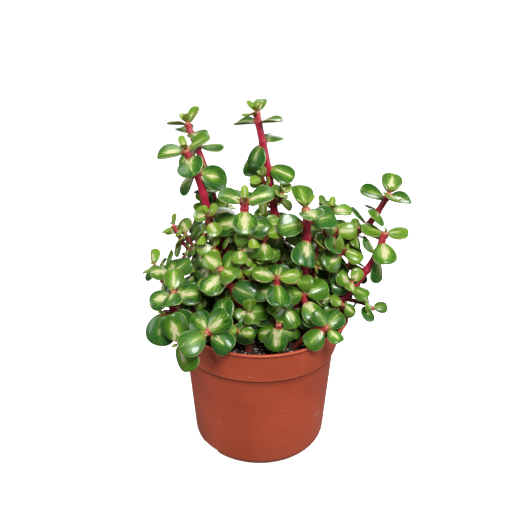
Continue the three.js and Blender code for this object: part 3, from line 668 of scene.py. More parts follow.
# Other places tried for a leaf, in turn: change of turn, of rise, and of size.
SHIFTS = (
    (0, 0, 1), (0, 14, 1), (0, -14, 1), (18, 0, 1), (-18, 0, 1), (0, 28, 0.95), (0, -26, 0.95),
    (26, 16, 0.9), (-26, 16, 0.9), (26, -16, 0.9), (-26, -16, 0.9), (0, 42, 0.85), (0, 10, 0.7),
    (30, -10, 0.65),
)


def lean_of(point, along, light, face):
    """The direction that a pair of leaves faces: along its stem, turned outwards and to the front."""
    if face:
        return unit(np.array(face, float))
    lean = LEAN * min(max((LEAN_TOP - point[2]) / LEAN_FADE, 0), 1)
    out = unit(point * [1, 1, 0])
    return unit(along + out * lean + [0, -light, 0])


def seat(shoot, pair, root, axis, neck):
    """What the leaves of a pair share."""
    side, back = across(axis)
    return dict(node=shoot.node, pair=pair, root=root, axis=axis, side=side, back=back, neck=neck)


def place_leaf(stem, turn, rise, roll, size, least, leaves, wood):
    """Puts a leaf in the first of its places that is clear, if any is."""
    for turned, raised, scale in SHIFTS:
        if size * scale < least:
            continue
        leaf = SimpleNamespace(**stem, turn=turn + turned, rise=rise + raised, roll=roll, size=size * scale)
        frame_leaf(leaf)
        if is_clear(leaf, leaves, wood):
            leaves.append(leaf)
            return


def place_two(stem, turn, rise, size, least, random, leaves, wood):
    """The two leaves of a pair, opposite to each other."""
    for half in (0, 180):
        drawn = size * between(SIZE_SPREAD, random)
        raised = rise + between(RISE_SPREAD, random)
        roll = between(ROLL_SPREAD, random)
        place_leaf(stem, turn + half, raised, roll, drawn, least, leaves, wood)


def place_pair(shoot, index, pair, leaves, wood):
    first, by_shoot, by_pair = SEED_PAIR
    random = draws(first + index * by_shoot + pair * by_pair)
    from_root = shoot.path.total - shoot.pairs[pair]
    is_young = pair < TIP_PAIRS
    light = shoot.light * (shoot.tip_share if is_young else 1)
    axis = lean_of(*at(shoot.path, from_root), light, shoot.face if is_young else None)
    neck = radius_at(shoot, from_root) * NECK
    stem = seat(shoot, (index, pair), core_at(shoot, from_root), axis, neck)
    turn = shoot.turn + 90 * pair + between(TURN_SPREAD, random)
    rise = PAIR_RISES[min(pair, len(PAIR_RISES) - 1)] - shoot.droop
    size = shoot.leaf * (1 - (1 - shoot.young) * GROWTH**pair)
    place_two(stem, turn, rise, size, LEAF_LEAST, random, leaves, wood)


def place_leaves(shoots, wood):
    """The youngest pairs of every shoot take their places first."""
    leaves = []
    for index, shoot in enumerate(shoots):
        shoot.pairs = pair_distances(shoot, draws(SEED_GAPS + index))
    for pair in range(max(len(shoot.pairs) for shoot in shoots)):
        for index, shoot in enumerate(shoots):
            if pair < len(shoot.pairs):
                place_pair(shoot, index, pair, leaves, wood)
    return leaves


# ---- young shoots
def is_free(stalk, leaves, wood):
    """Whether a stalk keeps clear of leaves and of other stems."""
    rows = np.array(wood_of(stalk))[1:]
    if any(meets(leaf, rows[:, :3], rows[:, 3], OWN_GAP) for leaf in leaves):
        return False
    others = wood[wood[:, 4] != stalk.node]
    away = np.linalg.norm(rows[:, None, :3] - others[None, :, :3], axis=2) - others[None, :, 3]
    return bool(np.all(away > YOUNG_ROOM))


def young_shoot(leader, distance, turn, index, random, leaves, wood):
    """A short stalk out of a stem's side with its small leaves, or nothing where there is no room."""
    foot, along = core_at(leader, distance), at(leader.path, distance)[1]
    out = outwards(*across(along), turn)
    reach = radius_at(leader, distance) + between(YOUNG_REACH, random)
    tip = foot + unit(out + [0, 0, YOUNG_RISE]) * reach
    if math.hypot(tip[0], tip[1]) > YOUNG_OUT:
        return None
    leaf = between(YOUNG_LEAF, random)
    stalk = side_shoot(leader, foot, tip, foot=YOUNG_FOOT, top=YOUNG_TOP, turn=turn, leaf=leaf)
    stalk.pairs = YOUNG_PAIRS
    leaves = [leaf for leaf in leaves if np.linalg.norm(leaf.middle - foot) < YOUNG_NEAR]
    wood = wood[np.linalg.norm(wood[:, :3] - foot, axis=1) < YOUNG_NEAR]
    if not is_free(stalk, leaves, wood):
        return None
    grown = list(leaves)
    axis = unit(out + [0, -YOUNG_LIGHT, 1])
    for pair, (from_tip, rise) in enumerate(zip(stalk.pairs, YOUNG_RISES)):
        root = core_at(stalk, stalk.path.total - from_tip)
        stem = seat(stalk, (index, pair), root, axis, YOUNG_TOP)
        size = stalk.leaf * (1 + YOUNG_GROWTH * pair)
        place_two(stem, turn + 90 * pair, rise, size, YOUNG_LEAF_LEAST, random, grown, wood)
    return (stalk, grown[len(leaves):]) if len(grown) - len(leaves) > YOUNG_LEAST else None


def highest(leader):
    """Where the young shoots of a rooted stem end: the long bare stems keep theirs at the foot."""
    if leader.name in YOUNG_BARE:
        return YOUNG_LOW
    return YOUNG_HIGH_BACK if leader.path.line[0][1] > 0 else YOUNG_HIGH


def facing(leader, distance):
    """The turn around a stem that points to the front."""
    side, back = across(at(leader.path, distance)[1])
    return math.degrees(math.atan2(-back[1], -side[1]))


def grow_young(shoots, leaves, wood):
    """Young shoots along the rooted stems, low in the bush, wherever one fits."""
    for leader in [shoot for shoot in shoots if shoot.leader]:
        random = draws(SEED_YOUNG + leader.node)
        distance, last = YOUNG_START, leader.path.total - YOUNG_END
        while distance < last and at(leader.path, distance)[0][2] < highest(leader):
            first = facing(leader, distance) + between(YOUNG_TURN, random)
            for turn in (first, first + 90, first + 270, first + 180):
                grown = young_shoot(leader, distance, turn, len(shoots), random, leaves, wood)
                if grown:
                    shoots.append(grown[0])
                    leaves += grown[1]
                    break
            distance += between(YOUNG_STEP, random)


# ---- meshes
FACTS = ("place", "kind", "flat")  # what the materials read at each point: three numbers each


def placed(name, data, place=(0, 0, 0), turned=(0, 0, 0)):
    """A new object in the scene."""
    made = bpy.data.objects.new(name, data)
    made.location, made.rotation_euler = place, turned
    bpy.context.scene.collection.objects.link(made)
    return made


class Build:
    """Vertices, faces and facts gathered for one mesh."""

    def __init__(self):
        self.points, self.facts, self.faces, self.slots = [], [], [], []
        self.count = 0

    def add(self, points, faces, slot=0, **facts):
        """A form with some of the facts: a row for each point, or one row for all."""
        rows = [np.broadcast_to(facts.get(name, 0.0), points.shape) for name in FACTS]
        self.points.append(points)
        self.facts.append(np.array(rows, np.float32))
        self.faces += [[corner + self.count for corner in face] for face in faces]
        self.slots += [slot] * len(faces)
        self.count += len(points)

    def piece(self, title, materials):
        mesh = bpy.data.meshes.new(title)
        mesh.from_pydata((np.vstack(self.points) * MM).tolist(), [], self.faces)
        mesh.polygons.foreach_set("material_index", self.slots)
        mesh.polygons.foreach_set("use_smooth", [True] * len(self.faces))
        for name, values in zip(FACTS, np.concatenate(self.facts, axis=1)):
            mesh.attributes.new(name, "FLOAT_VECTOR", "POINT").data.foreach_set("vector", values.ravel())
        for material in materials:
            mesh.materials.append(material)
        return placed(title, mesh)


def tube_faces(rings, sides, closed_ends=True):
    """Faces of rings that follow each other, with a point before the first and one after the last."""
    faces = []
    for ring in range(rings - 1):
        for i in range(sides):
            a, b = 1 + ring * sides + i, 1 + ring * sides + (i + 1) % sides
            faces.append((a, b, b + sides, a + sides))
    if closed_ends:
        last = 1 + (rings - 1) * sides
        end = last + sides
        for i in range(sides):
            faces.append((0, 1 + (i + 1) % sides, 1 + i))
            faces.append((end, last + i, last + (i + 1) % sides))
    return faces


# ---- fine leaves
def leaf_rings(count):
    """Shares of a leaf's length, close together at its foot and its end."""
    turns = np.linspace(0, math.pi, count + 2)[1:-1]
    return (1 - np.cos(turns)) / 2


def leaf_form(leaf, t, share, face):
    """Points of the fine leaf: its share across from -1 to 1, and a face of 1 above or -1 below."""
    stalk = LEAF_STALK * leaf.size * np.clip(1 - t / STALK_END, 0, 1)
    inner = np.clip(t, 0, 1)
    half = np.hypot(outline_at(inner) * leaf.width / 2, stalk)
    thick = np.hypot(leaf.thick * swell_at(inner), stalk * STALK_FLAT)
    v = share * half
    swell = thick * face * (1 - np.abs(share) ** LEAF_PLUMP) ** (1 / LEAF_PLUMP)
    groove = GROOVE * leaf.size * np.exp(-((share / GROOVE_WIDTH) ** 2)) * inner * (1 - inner) * (face > 0)
    wave = WAVE * leaf.size * share**2 * np.sin(WAVES * t + leaf.phase) * inner
    fall = -leaf.size * LEAF_ARCH * inner**2 - leaf.width * LEAF_DISH * leaf.cup * (v * 2 / leaf.width) ** 2
    return on_leaf(leaf, t, v, fall + swell - groove + wave), v


def add_leaf(build, leaf, rings, sides):
    """A leaf as a closed skin from its root inside the stem to its end."""
    root = (ROOT_SINK - 1) * leaf.neck / leaf.size
    shares = np.concatenate([[root, *FOOT_SHARES], leaf_rings(rings)])
    turns = np.arange(sides) / sides * 2 * math.pi
    across_leaf = np.cos(turns)
    share = np.sign(across_leaf) * np.abs(across_leaf) ** EDGE_CROWD
    face = np.where(np.sin(turns) >= 0, 1.0, -1.0)
    t = np.r_[root, np.repeat(shares, sides), 1]
    share, face = (np.r_[0, np.tile(row, len(shares)), 0] for row in (share, face))
    points, v = leaf_form(leaf, t, share, face)
    place = np.column_stack([t, share, face * np.sqrt(1 - share**2)])
    flat = np.column_stack([t, v / leaf.size, np.zeros(len(t))])
    kind = leaf.ident, leaf.age, leaf.pale
    build.add(points, tube_faces(len(shares), sides), place=place, kind=kind, flat=flat)


# ---- fine stems
def stem_points(shoot):
    """Rings along a stem: points, directions, radii and distances from its root."""
    first = first_ring(shoot)
    count = max(int((shoot.path.total - first) / STEM_RING), 4)
    distances = list(np.linspace(first, shoot.path.total, count + 1))
    rings = [(*at(shoot.path, s), radius_at(shoot, s), s) for s in distances]
    if shoot.leader:
        x, y, z = shoot.path.line[0]
        up = np.array([0, 0, 1.0])
        heights = (z - ROOT_DEPTH, z - STEM_SINK, SOIL_CROWN + FIT_GAP)
        rings = [(np.array([x, y, height]), up, shoot.foot, 0) for height in heights] + rings
    return rings


def add_stem(build, shoot, ident):
    """A round stem, a little thicker where its leaves stand, and rounded at its tip."""
    joints = np.array([shoot.path.total - pair for pair in shoot.pairs])
    points, place, kind = [], [], []
    rings = stem_points(shoot)
    end, along, radius, total = rings[-1]
    cap = [(end + along * radius * rise, along, radius * size, total) for rise, size in TIP_CAP]
    turns = np.arange(STEM_SIDES) / STEM_SIDES * 2 * math.pi
    side, back = across(rings[0][1])
    for point, along, radius, distance in rings + cap:
        side = unit(side - along * (side @ along))
        back = np.cross(along, side)
        from_joint = np.min(np.abs(joints - distance))
        swell = 1 + JOINT_SWELL * math.exp(-((from_joint / JOINT_REACH) ** 2))
        around = np.outer(np.cos(turns), side) + np.outer(np.sin(turns), back)
        points.append(point + around * radius * swell)
        place.append(np.column_stack([np.full(STEM_SIDES, from_joint / CM), np.cos(turns), np.sin(turns)]))
        kind.append(np.tile([ident, (total - distance) / DM, distance / DM], (STEM_SIDES, 1)))
    count = len(points)
    ends = rings[0][0], end + along * rings[-1][2] * TIP_END
    points = np.vstack([ends[0], *points, ends[1]])
    place = np.vstack([place[0][:1], *place, place[-1][-1:]])
    kind = np.vstack([kind[0][:1], *kind, kind[-1][-1:]])
    build.add(points, tube_faces(count, STEM_SIDES), 1, place=place, kind=kind)


# ---- buds
def dress(leaf, age, random):
    """The facts of a leaf that only its looks need."""
    leaf.ident, leaf.age, leaf.pale = random(), age, random()
    leaf.phase = random() * 2 * math.pi
    leaf.cup = between(CUPS, random)
    return leaf


def age_of(leaf):
    """From 0 to 1: older if large, far from its tip and low."""
    (small, growth), (high, fall) = AGE_SIZE, AGE_HEIGHT
    signs = (leaf.size - small) / growth, leaf.pair[1] / AGE_PAIRS, (high - leaf.middle[2]) / fall
    return sum(share * min(max(sign, 0), 1) for share, sign in zip(AGE_SHARES, signs))


def bud_leaf(shoot, root, axis, turn, rise, size, neck, random):
    stem = seat(shoot, ("bud", random()), root, axis, neck)
    leaf = SimpleNamespace(**stem, turn=turn, rise=rise, roll=between(ROLL_SPREAD, random), size=size)
    leaf = dress(frame_leaf(leaf), 0, random)
    leaf.width *= BUD_WIDTH
    leaf.cup = BUD_CUP
    return leaf


def tip_buds(shoot, index):
    """Two pairs of small leaves that stand up at a shoot's tip, each turned by a quarter."""
    random = draws(SEED_TIPS + index)
    point, along = at(shoot.path, shoot.path.total)
    axis = lean_of(point, along, shoot.light * BUD_LIGHT, shoot.face)
    buds = []
    for order, (share, rise, lift) in enumerate(BUDS):
        turn = shoot.turn + 90 * (order + 1) + between(TURN_SPREAD, random)
        share *= BUD_TALL_SHARE if point[2] > BUD_TALL else BUD_LOW_SHARE
        size = max(shoot.leaf * share, BUD_LEAST) * between(SIZE_SPREAD, random)
        for half in (0, 180):
            root = point + along * lift
            raised = rise + between(BUD_RISE_SPREAD, random)
            neck = shoot.top * BUD_NECK
            buds.append(bud_leaf(shoot, root, axis, turn + half, raised, size, neck, random))
    return buds


def axil_buds(shoot, index, leaves):
    """Tiny pairs of leaves that sprout where a grown leaf leaves the stem."""
    random = draws(SEED_AXILS + index)
    buds = []
    for leaf in leaves:
        if leaf.pair[1] < TIP_PAIRS or random() > AXIL_SHARE:
            continue
        out = unit(leaf.along - leaf.axis * (leaf.along @ leaf.axis))
        root = leaf.root + out * leaf.neck * AXIL_OUT + leaf.axis * AXIL_LIFT
        size = between(AXIL_SIZE, random)
        axis = unit(out * AXIL_LEAN + leaf.axis)
        turn = random() * 180
        for half in (0, 180):
            rise = between(AXIL_RISE, random)
            buds.append(bud_leaf(shoot, root, axis, turn + half, rise, size, BUD_NECK, random))
    return buds


# ---- node words
def paint(red, green, blue):
    """A colour given as 0 to 255, as the shaders take it."""
    linear = []
    for value in (red, green, blue):
        share = value / 255
        linear.append(share / 12.92 if share <= 0.04045 else ((share + 0.055) / 1.055) ** 2.4)
    return (*linear, 1)


def operator(operation):
    """A sum of values, as a math node."""
    return lambda value, other=0: value.nodes.math(operation, value, other)


class Value:
    """A node's output, with which sums are written as with numbers."""

    def __init__(self, nodes, socket):
        self.nodes, self.socket = nodes, socket

    __add__, __sub__, __mul__, __abs__ = map(operator, ("ADD", "SUBTRACT", "MULTIPLY", "ABSOLUTE"))

    def __rsub__(self, other):
        return self.nodes.math("SUBTRACT", other, self)


class Nodes:
    """A material's nodes in short words, which take numbers, colours and values."""

    def __init__(self, name):
        self.material = bpy.data.materials.new(name)
        self.material.use_nodes = True
        self.tree = self.material.node_tree
        self.shader = self.tree.nodes["Principled BSDF"]

    def set(self, socket, value):
        if isinstance(value, Value):
            self.tree.links.new(value.socket, socket)
        else:
            socket.default_value = value

    def outputs(self, kind, values=(), **settings):
        """The outputs of a new node."""
        made = self.tree.nodes.new(kind)
        for name, value in settings.items():
            setattr(made, name, value)
        for key, value in dict(values).items():
            self.set(made.inputs[key], value)
        return {socket.identifier: Value(self, socket) for socket in made.outputs}

    def value(self, output, kind, values=(), **settings):
        return self.outputs(kind, values, **settings)[output]

    def parts(self, vector):
        return self.outputs("ShaderNodeSeparateXYZ", {0: vector}).values()

    def fact(self, name):
        """The three numbers of one of a mesh's facts."""
        return self.parts(self.value("Vector", "ShaderNodeAttribute", attribute_name=name))

    def coordinates(self):
        return self.value("Object", "ShaderNodeTexCoord")

    def math(self, operation, a, b=0):
        return self.value("Value", "ShaderNodeMath", {0: a, 1: b}, operation=operation)

    def vector(self, x, y, z):
        return self.value("Vector", "ShaderNodeCombineXYZ", {0: x, 1: y, 2: z})

    def noise(self, vector, scale, detail=2, roughness=0.5):
        values = {"Vector": vector, "Scale": scale, "Detail": detail, "Roughness": roughness}
        return self.value("Fac", "ShaderNodeTexNoise", values)

    def ramp(self, value, low, high, first=0, last=1):
        """A smooth step from first to last, as value goes from low to high."""
        values = {"Value": value, "From Min": low, "From Max": high, "To Min": first, "To Max": last}
        return self.value("Result", "ShaderNodeMapRange", values, interpolation_type="SMOOTHSTEP")

    def mix(self, share, one, other):
        return self.value("Result_Color", "ShaderNodeMix", {0: share, 6: one, 7: other}, data_type="RGBA")

    def coats(self, colour, *coats):
        """A colour under coats of others, each with its share."""
        for share, over in coats:
            colour = self.mix(share, colour, paint(*over))
        return colour

    def bump(self, height, distance):
        values = {"Height": height, "Distance": distance, "Strength": 1}
        self.set(self.shader.inputs["Normal"], self.value("Normal", "ShaderNodeBump", values))

    def finish(self, **values):
        for name, value in values.items():
            self.set(self.shader.inputs[name.replace("_", " ")], value)
        return self.material


# ---- materials
def leaf_material():
    n = Nodes("variegated_leaf")
    t, share, height = n.fact("place")
    ident, age, pale = n.fact("kind")
    flat_t, flat_v, _ = n.fact("flat")
    side, apart, seed = abs(share), abs(flat_v), ident * 97
    own_end, own_vee, own_tint = (n.math("FRACT", seed * k) for k in (3.7, 7.3, 11.9))
    above = n.ramp(height, -0.15, 0.15)
    fan = n.math("ARCTAN2", flat_v, flat_t + 0.2)

    def streaks(across_fan, along, start, detail, roughness=0.5):
        """Streaks that run out from the leaf's foot."""
        return n.noise(n.vector(fan * across_fan, flat_t * along, start), 1, detail, roughness)

    fine, broad = streaks(24, 2.6, seed, 4, 0.62), streaks(7, 3.4, seed, 2)
    sector, lines = streaks(9, 1.3, seed + 31, 2), streaks(46, 3, seed, 3, 0.6)

    # A cream flame along the middle, as wide as the leaf is pale. In some leaves it starts as two arms.
    widest = n.ramp(pale, 0.1, 0.95, 0.018, 0.14)
    ending = n.ramp(own_end * 0.28 + 0.7 - t, -0.04, 0.36)
    flame = widest * ending * n.ramp(t, 0, 0.38, 0.4, 1)
    arms = n.ramp(own_vee, 0.7, 0.76, 0, 0.42) * n.math("MAXIMUM", 0.42 - t, 0)
    jags = ((fine - 0.5) * 0.5 + (broad - 0.5) * 0.4) * (widest * 5 + 0.12)
    reach = flame + jags - abs(apart - arms)
    cream_share = n.ramp(reach, -0.03, 0.045) * n.ramp(ending, 0, 0.2)
    cream_share *= n.ramp(lines, 0.38, 0.52, 0.45, 1)
    cream = n.mix(fine * 0.7, paint(218, 207, 171), paint(176, 184, 107))

    green = n.coats(
        n.mix(n.ramp(sector, 0.4, 0.58), paint(26, 68, 12), paint(43, 94, 14)),
        (n.ramp(fine, 0.46, 0.68) * 0.4, (79, 131, 24)),  # light streaks
        (n.ramp(side, 0.35, 0.95) * 0.4, (32, 86, 27)),  # margin
        (n.ramp(reach, -0.2, 0) * n.ramp(ending, -0.1, 0.4) * 0.6, (118, 164, 40)),  # halo round the cream
        (n.ramp(lines, 0.52, 0.66) * n.ramp(reach, -0.34, -0.02) * 0.6, (172, 194, 96)),  # lines out of it
        (n.ramp(age, 0, 0.4, 0.7, 0), (136, 168, 48)),  # young leaves
        (n.ramp(age, 0.4, 1, 0, 0.55), (20, 64, 20)),  # old leaves
        (n.ramp(own_tint, 0.5, 1, 0, 0.5), (46, 98, 42)),  # bluer leaves
        (n.ramp(own_tint, 0.4, 0, 0, 0.35), (100, 152, 34)),  # yellower leaves
    )
    under = n.coats(
        paint(58, 98, 36),
        (n.ramp(apart, 0.05, 0.015) * 0.5, (150, 166, 90)),  # midrib
        (n.ramp(broad, 0.4, 0.6) * 0.3, (84, 124, 56)),
        (n.ramp(age, 0, 0.3, 0.8, 0), (150, 156, 70)),  # young leaves
    )
    colour = n.mix(above, under, n.mix(cream_share, green, cream))
    rim = n.ramp(side, 0.93, 0.985) * n.ramp(t, 0.08, 0.4)
    rim_colour = n.mix(n.ramp(age, 0.05, 0.45), paint(176, 120, 70), paint(176, 200, 126))
    colour = n.coats(n.mix(rim * 0.75, colour, rim_colour), (n.ramp(t, 0.15, 0), (176, 64, 58)))

    pores = n.noise(n.coordinates(), 900)
    n.bump(pores + fine * 0.5, 0.12 * MM)
    return n.finish(
        Base_Color=colour, Roughness=n.ramp(pores, 0.3, 0.7, 0.22, 0.32), Specular_IOR_Level=0.26,
        Coat_Weight=0.22, Coat_Roughness=0.1,
    )


def stem_material():
    n = Nodes("crimson_stem")
    joint, round_x, round_y = n.fact("place")
    ident, from_tip, from_root = n.fact("kind")
    grain = n.noise(n.vector(round_x * 3, round_y * 3, from_tip * 12 + ident * 53), 1.6, 3)
    specks = n.noise(n.coordinates(), 1500)
    colour = n.coats(
        n.mix(n.ramp(from_tip, 0.01, 0.09), paint(198, 68, 70), paint(180, 24, 58)),
        (n.ramp(grain, 0.42, 0.62) * 0.55, (118, 16, 38)),
        (n.ramp(from_root, 0.42, 0.08, 0, 0.85), (104, 52, 34)),  # brown foot
        (n.ramp(joint, 0.07, 0.02, 0, 0.5), (112, 34, 30)),  # scars at the leaves
        (n.ramp(from_tip, 0.016, 0.005), (184, 108, 78)),  # pale tip
        (n.ramp(specks, 0.66, 0.74, 0, 0.5), (206, 110, 100)),
    )
    n.bump(specks + grain, 0.18 * MM)
    return n.finish(Base_Color=colour, Roughness=0.38, Coat_Weight=0.15, Coat_Roughness=0.25)


def band(n, z, height, opening, full, closing, end):
    """A band round the pot: its four edges are given over a height, in millimetres."""
    rising = n.ramp(z, (height + opening) * MM, (height + full) * MM)
    return rising * n.ramp(z, (height + end) * MM, (height + closing) * MM)


def scuffs(n, around, z, rubbed):
    """Adds the rubbed places of the pot to where it is rubbed all over."""
    for angle, height, wide, high in SCUFFS:
        aside, apart = abs(around - angle), abs(z - height * MM)
        rubbed = rubbed + n.ramp(aside, wide, 0) * n.ramp(apart, high * MM, 0)
    return rubbed


def hair(n, around, z):
    """A thin pale hair that lies on the collar in a bow."""
    angle, height, bend, high = HAIR
    rise = z - height * MM
    bow = rise * rise * (-bend / MM**2) + angle
    return n.ramp(abs(around - bow), 0.4, 0.1) * n.ramp(abs(rise), high * MM, high * MM * 0.8)


def pot_material():
    n = Nodes("terracotta_plastic")
    place = n.coordinates()
    x, y, z = n.parts(place)
    around = n.math("ARCTAN2", y, x) * (180 / math.pi)
    cloud, grain = n.noise(place, 22, 3), n.noise(place, 1400)
    stretched = n.value("Vector", "ShaderNodeMapping", {"Vector": place, "Scale": (90, 90, 1100)})
    rubbed = scuffs(n, around, z, n.ramp(cloud, 0.52, 0.64, 0, 0.25))
    strokes = rubbed * 0.2 + n.noise(stretched, 1)
    foot, lip = POT_HEIGHT - COLLAR_HEIGHT, POT_HEIGHT - LIP_HEIGHT
    colour = n.coats(
        n.mix(n.ramp(cloud, 0.35, 0.65), paint(172, 68, 38), paint(186, 76, 44)),
        (n.ramp(grain, 0.4, 0.7) * 0.12, (206, 124, 96)),
        (n.ramp(strokes, 0.71, 0.84) * 0.5, (222, 166, 146)),
        (hair(n, around, z) * 0.55, (224, 176, 154)),
        (band(n, z, foot, -6.5, -1.5, -0.1, 0.4) * 0.42, (96, 34, 20)),  # painted shade under the collar's overhang
        (band(n, z, foot, 0, 0.5, 0.8, 1.6) * 0.25, (214, 130, 98)),  # painted highlight along the collar's lower edge
        (band(n, z, lip, -1.2, -0.2, 0.2, 0.6) * 0.45, (96, 34, 20)),  # painted shade under the lip bead
        (n.ramp(z, 0.02, 0) * n.ramp(cloud, 0.4, 0.6) * 0.25, (150, 98, 76)),  # dust at the foot
    )
    n.bump(grain, 0.08 * MM)
    return n.finish(
        Base_Color=colour, Roughness=n.ramp(cloud, 0.3, 0.7, 0.5, 0.58), Sheen_Weight=0.04,
        Sheen_Roughness=0.4,
    )


def soil_material():
    n = Nodes("peat")
    place = n.coordinates()
    lumps, fibres = n.noise(place, 420, 4, 0.7), n.noise(place, 1600, 3, 0.7)
    colour = n.coats(
        n.mix(n.ramp(lumps, 0.35, 0.65), paint(30, 21, 16), paint(70, 50, 36)),
        (n.ramp(fibres, 0.6, 0.7, 0, 0.6), (124, 94, 64)),
    )
    n.bump(lumps + fibres, 1.2 * MM)
    return n.finish(Base_Color=colour, Roughness=0.95)


def grit_material():
    n = Nodes("grit")
    tone, _, _ = n.fact("kind")
    colour = n.coats(
        n.mix(n.ramp(tone, 0.5, 0.54), paint(74, 48, 32), paint(238, 226, 198)),
        (n.ramp(n.noise(n.coordinates(), 1500, 3), 0.4, 0.65, 0, 0.4), (120, 92, 66)),
    )
    return n.finish(Base_Color=colour, Roughness=0.85)


# ---- pot
def body_radius(z):
    return FOOT_RADIUS + (BODY_TOP_RADIUS - FOOT_RADIUS) * z / (POT_HEIGHT - COLLAR_HEIGHT)


def foot_round(inset, floor, steps):
    """A quarter round from the underside to the body."""
    rounding = FOOT_ROUND - inset
    points = []
    for angle in np.linspace(0, math.pi / 2, steps):
        z = floor + rounding * (1 - math.cos(angle))
        points.append((body_radius(z) - inset - rounding * (1 - math.sin(angle)), z))
    return points


def arc(centre, radius, first, last, steps):
    """Points of a rounding, from one angle to another."""
    angles = np.radians(np.linspace(first, last, steps))
    return [(centre[0] + radius * math.cos(a), centre[1] + radius * math.sin(a)) for a in angles]


def inner_profile(inset, steps):
    low, high = (POT_HEIGHT - COLLAR_HEIGHT + rise for rise in INNER_STEP)
    step = [(BODY_TOP_RADIUS - inset, low), (COLLAR_FOOT_RADIUS - inset, high)]
    return foot_round(inset, FLOOR + inset - WALL, steps) + step


def pot_profile():
    """The pot's section: underside, body, collar, lip bead and inside."""
    step, lip = POT_HEIGHT - COLLAR_HEIGHT, POT_HEIGHT - LIP_HEIGHT
    collar, inner_lip = RIM_RADIUS - LIP_STEP, RIM_RADIUS - LIP_STEP - WALL
    bead = LIP_HEIGHT / 2 - LIP_EASE
    bead_middle = (RIM_RADIUS - bead, lip + bead + 0.15)
    collar_foot = (COLLAR_FOOT_RADIUS - 0.7, step + COLLAR_ROUND)
    return [
        (0, 0), *[(radius, 0) for radius in FLOOR_RINGS], *foot_round(0, 0, steps=12),
        (body_radius(BODY_RING), BODY_RING), (BODY_TOP_RADIUS, step - 0.6), (BODY_TOP_RADIUS + 0.15, step),
        *arc(collar_foot, COLLAR_ROUND, -80, 0, 5),
        (collar - 0.25, lip - 0.9), (collar, lip - LIP_EASE), (collar + LIP_EASE, lip + 0.05),
        *arc(bead_middle, bead, -60, 90, 9),
        (inner_lip + 0.5, POT_HEIGHT - LIP_EASE), (inner_lip, POT_HEIGHT - 0.7),
        *reversed(inner_profile(WALL, steps=8)), (FLOOR_RINGS[0], FLOOR), (0, FLOOR),
    ]


def turned_rings(profile, sides):
    """A ring of points for each point of a profile."""
    turns = np.arange(sides) / sides * 2 * math.pi
    return [np.column_stack([r * np.cos(turns), r * np.sin(turns), np.full(sides, z)]) for r, z in profile]


def lathe(profile, sides):
    """A turned form of a profile that starts and ends on the axis."""
    rings = turned_rings(profile[1:-1], sides)
    points = np.vstack([[0, 0, profile[0][1]], *rings, [0, 0, profile[-1][1]]])
    return points, tube_faces(len(rings), sides)


def bent(points):
    """Points of the pot with the bend of its rim."""
    bend = bend_at(*points.T)
    out = np.hypot(points[:, 0], points[:, 1])
    share = np.divide(bend, out, out=np.zeros(len(points)), where=bend > 0)
    return points * np.column_stack([1 + share, 1 + share, np.ones(len(points))])


def cut_drains(pot):
    """Cuts the drain notches of the solids from the fine pot."""
    inner, outer = DRAIN_CUT
    cutters = []
    for angle in DRAIN_ANGLES:
        bpy.ops.mesh.primitive_cube_add(size=MM)
        cutter = bpy.context.object
        middle = (inner + outer) / 2
        turned = math.radians(angle)
        cutter.location = Vector((math.cos(turned), math.sin(turned), 0)) * middle * MM
        cutter.scale = (outer - inner, DRAIN_WIDTH, 2 * DRAIN_HEIGHT)
        cutter.rotation_euler.z = turned
        cut = pot.modifiers.new("drain", "BOOLEAN")
        cut.operation, cut.object, cut.solver = "DIFFERENCE", cutter, "EXACT"
        cutters.append(cutter)
    evaluated = pot.evaluated_get(bpy.context.evaluated_depsgraph_get())
    pot.data = bpy.data.meshes.new_from_object(evaluated)
    pot.modifiers.clear()
    for cutter in cutters:
        bpy.data.objects.remove(cutter)


# ---- mix
def soil_height(x, y):
    """The lumpy top of the mix, highest in the middle."""
    out = min(math.hypot(x, y) / SOIL_RADIUS, 1)
    lumps = sum(noise.noise(Vector((x, y, 0)) * fineness) * share for fineness, share in LUMPS)
    return SOIL_CROWN + (SOIL_EDGE - SOIL_CROWN) * out**2 - SOIL_DROP + lumps * LUMP_HEIGHT


def soil_form():
    low = FLOOR + FIT_GAP
    side = inner_profile(WALL + FIT_GAP, steps=6)
    profile = [(0, low), (SOIL_RING, low), *side, (SOIL_RADIUS, SOIL_EDGE - SOIL_SHOULDER)]
    profile += [(radius, SOIL_CROWN) for radius in np.linspace(SOIL_RADIUS, 0, SOIL_RINGS + 1)]
    points, faces = lathe(profile, SOIL_SIDES)
    for point in points:
        if point[2] == SOIL_CROWN:
            point[2] = soil_height(point[0], point[1])
    return points, faces


def pebble(random, size):
    """A small angular grain: a ball of a few points, dented and squashed."""
    points = []
    for z, ring in GRIT_RINGS:
        for i in range(ring):
            angle = (i + GRIT_SKEW * random() + z) / ring * 2 * math.pi
            out = math.sqrt(1 - z * z) * between(GRIT_OUT, random)
            points.append((out * math.cos(angle), out * math.sin(angle), z * between(GRIT_UP, random)))
    points = np.array(points) * size / 2 * [1, between(GRIT_WIDE, random), between(GRIT_HIGH, random)]
    turn, tip = random() * 2 * math.pi, between(GRIT_TIP, random)
    turned = Euler((tip, tip / 2, turn)).to_matrix()
    return points @ np.array(turned).T


def hull_of(points):
    """Vertices and faces of the points' convex hull."""
    hull = bmesh.new()
    bmesh.ops.convex_hull(hull, input=[hull.verts.new(point) for point in points])
    hull.verts.index_update()
    kept = np.array([vert.co for vert in hull.verts])
    faces = [[vert.index for vert in face.verts] for face in hull.faces]
    hull.free()
    return kept, faces


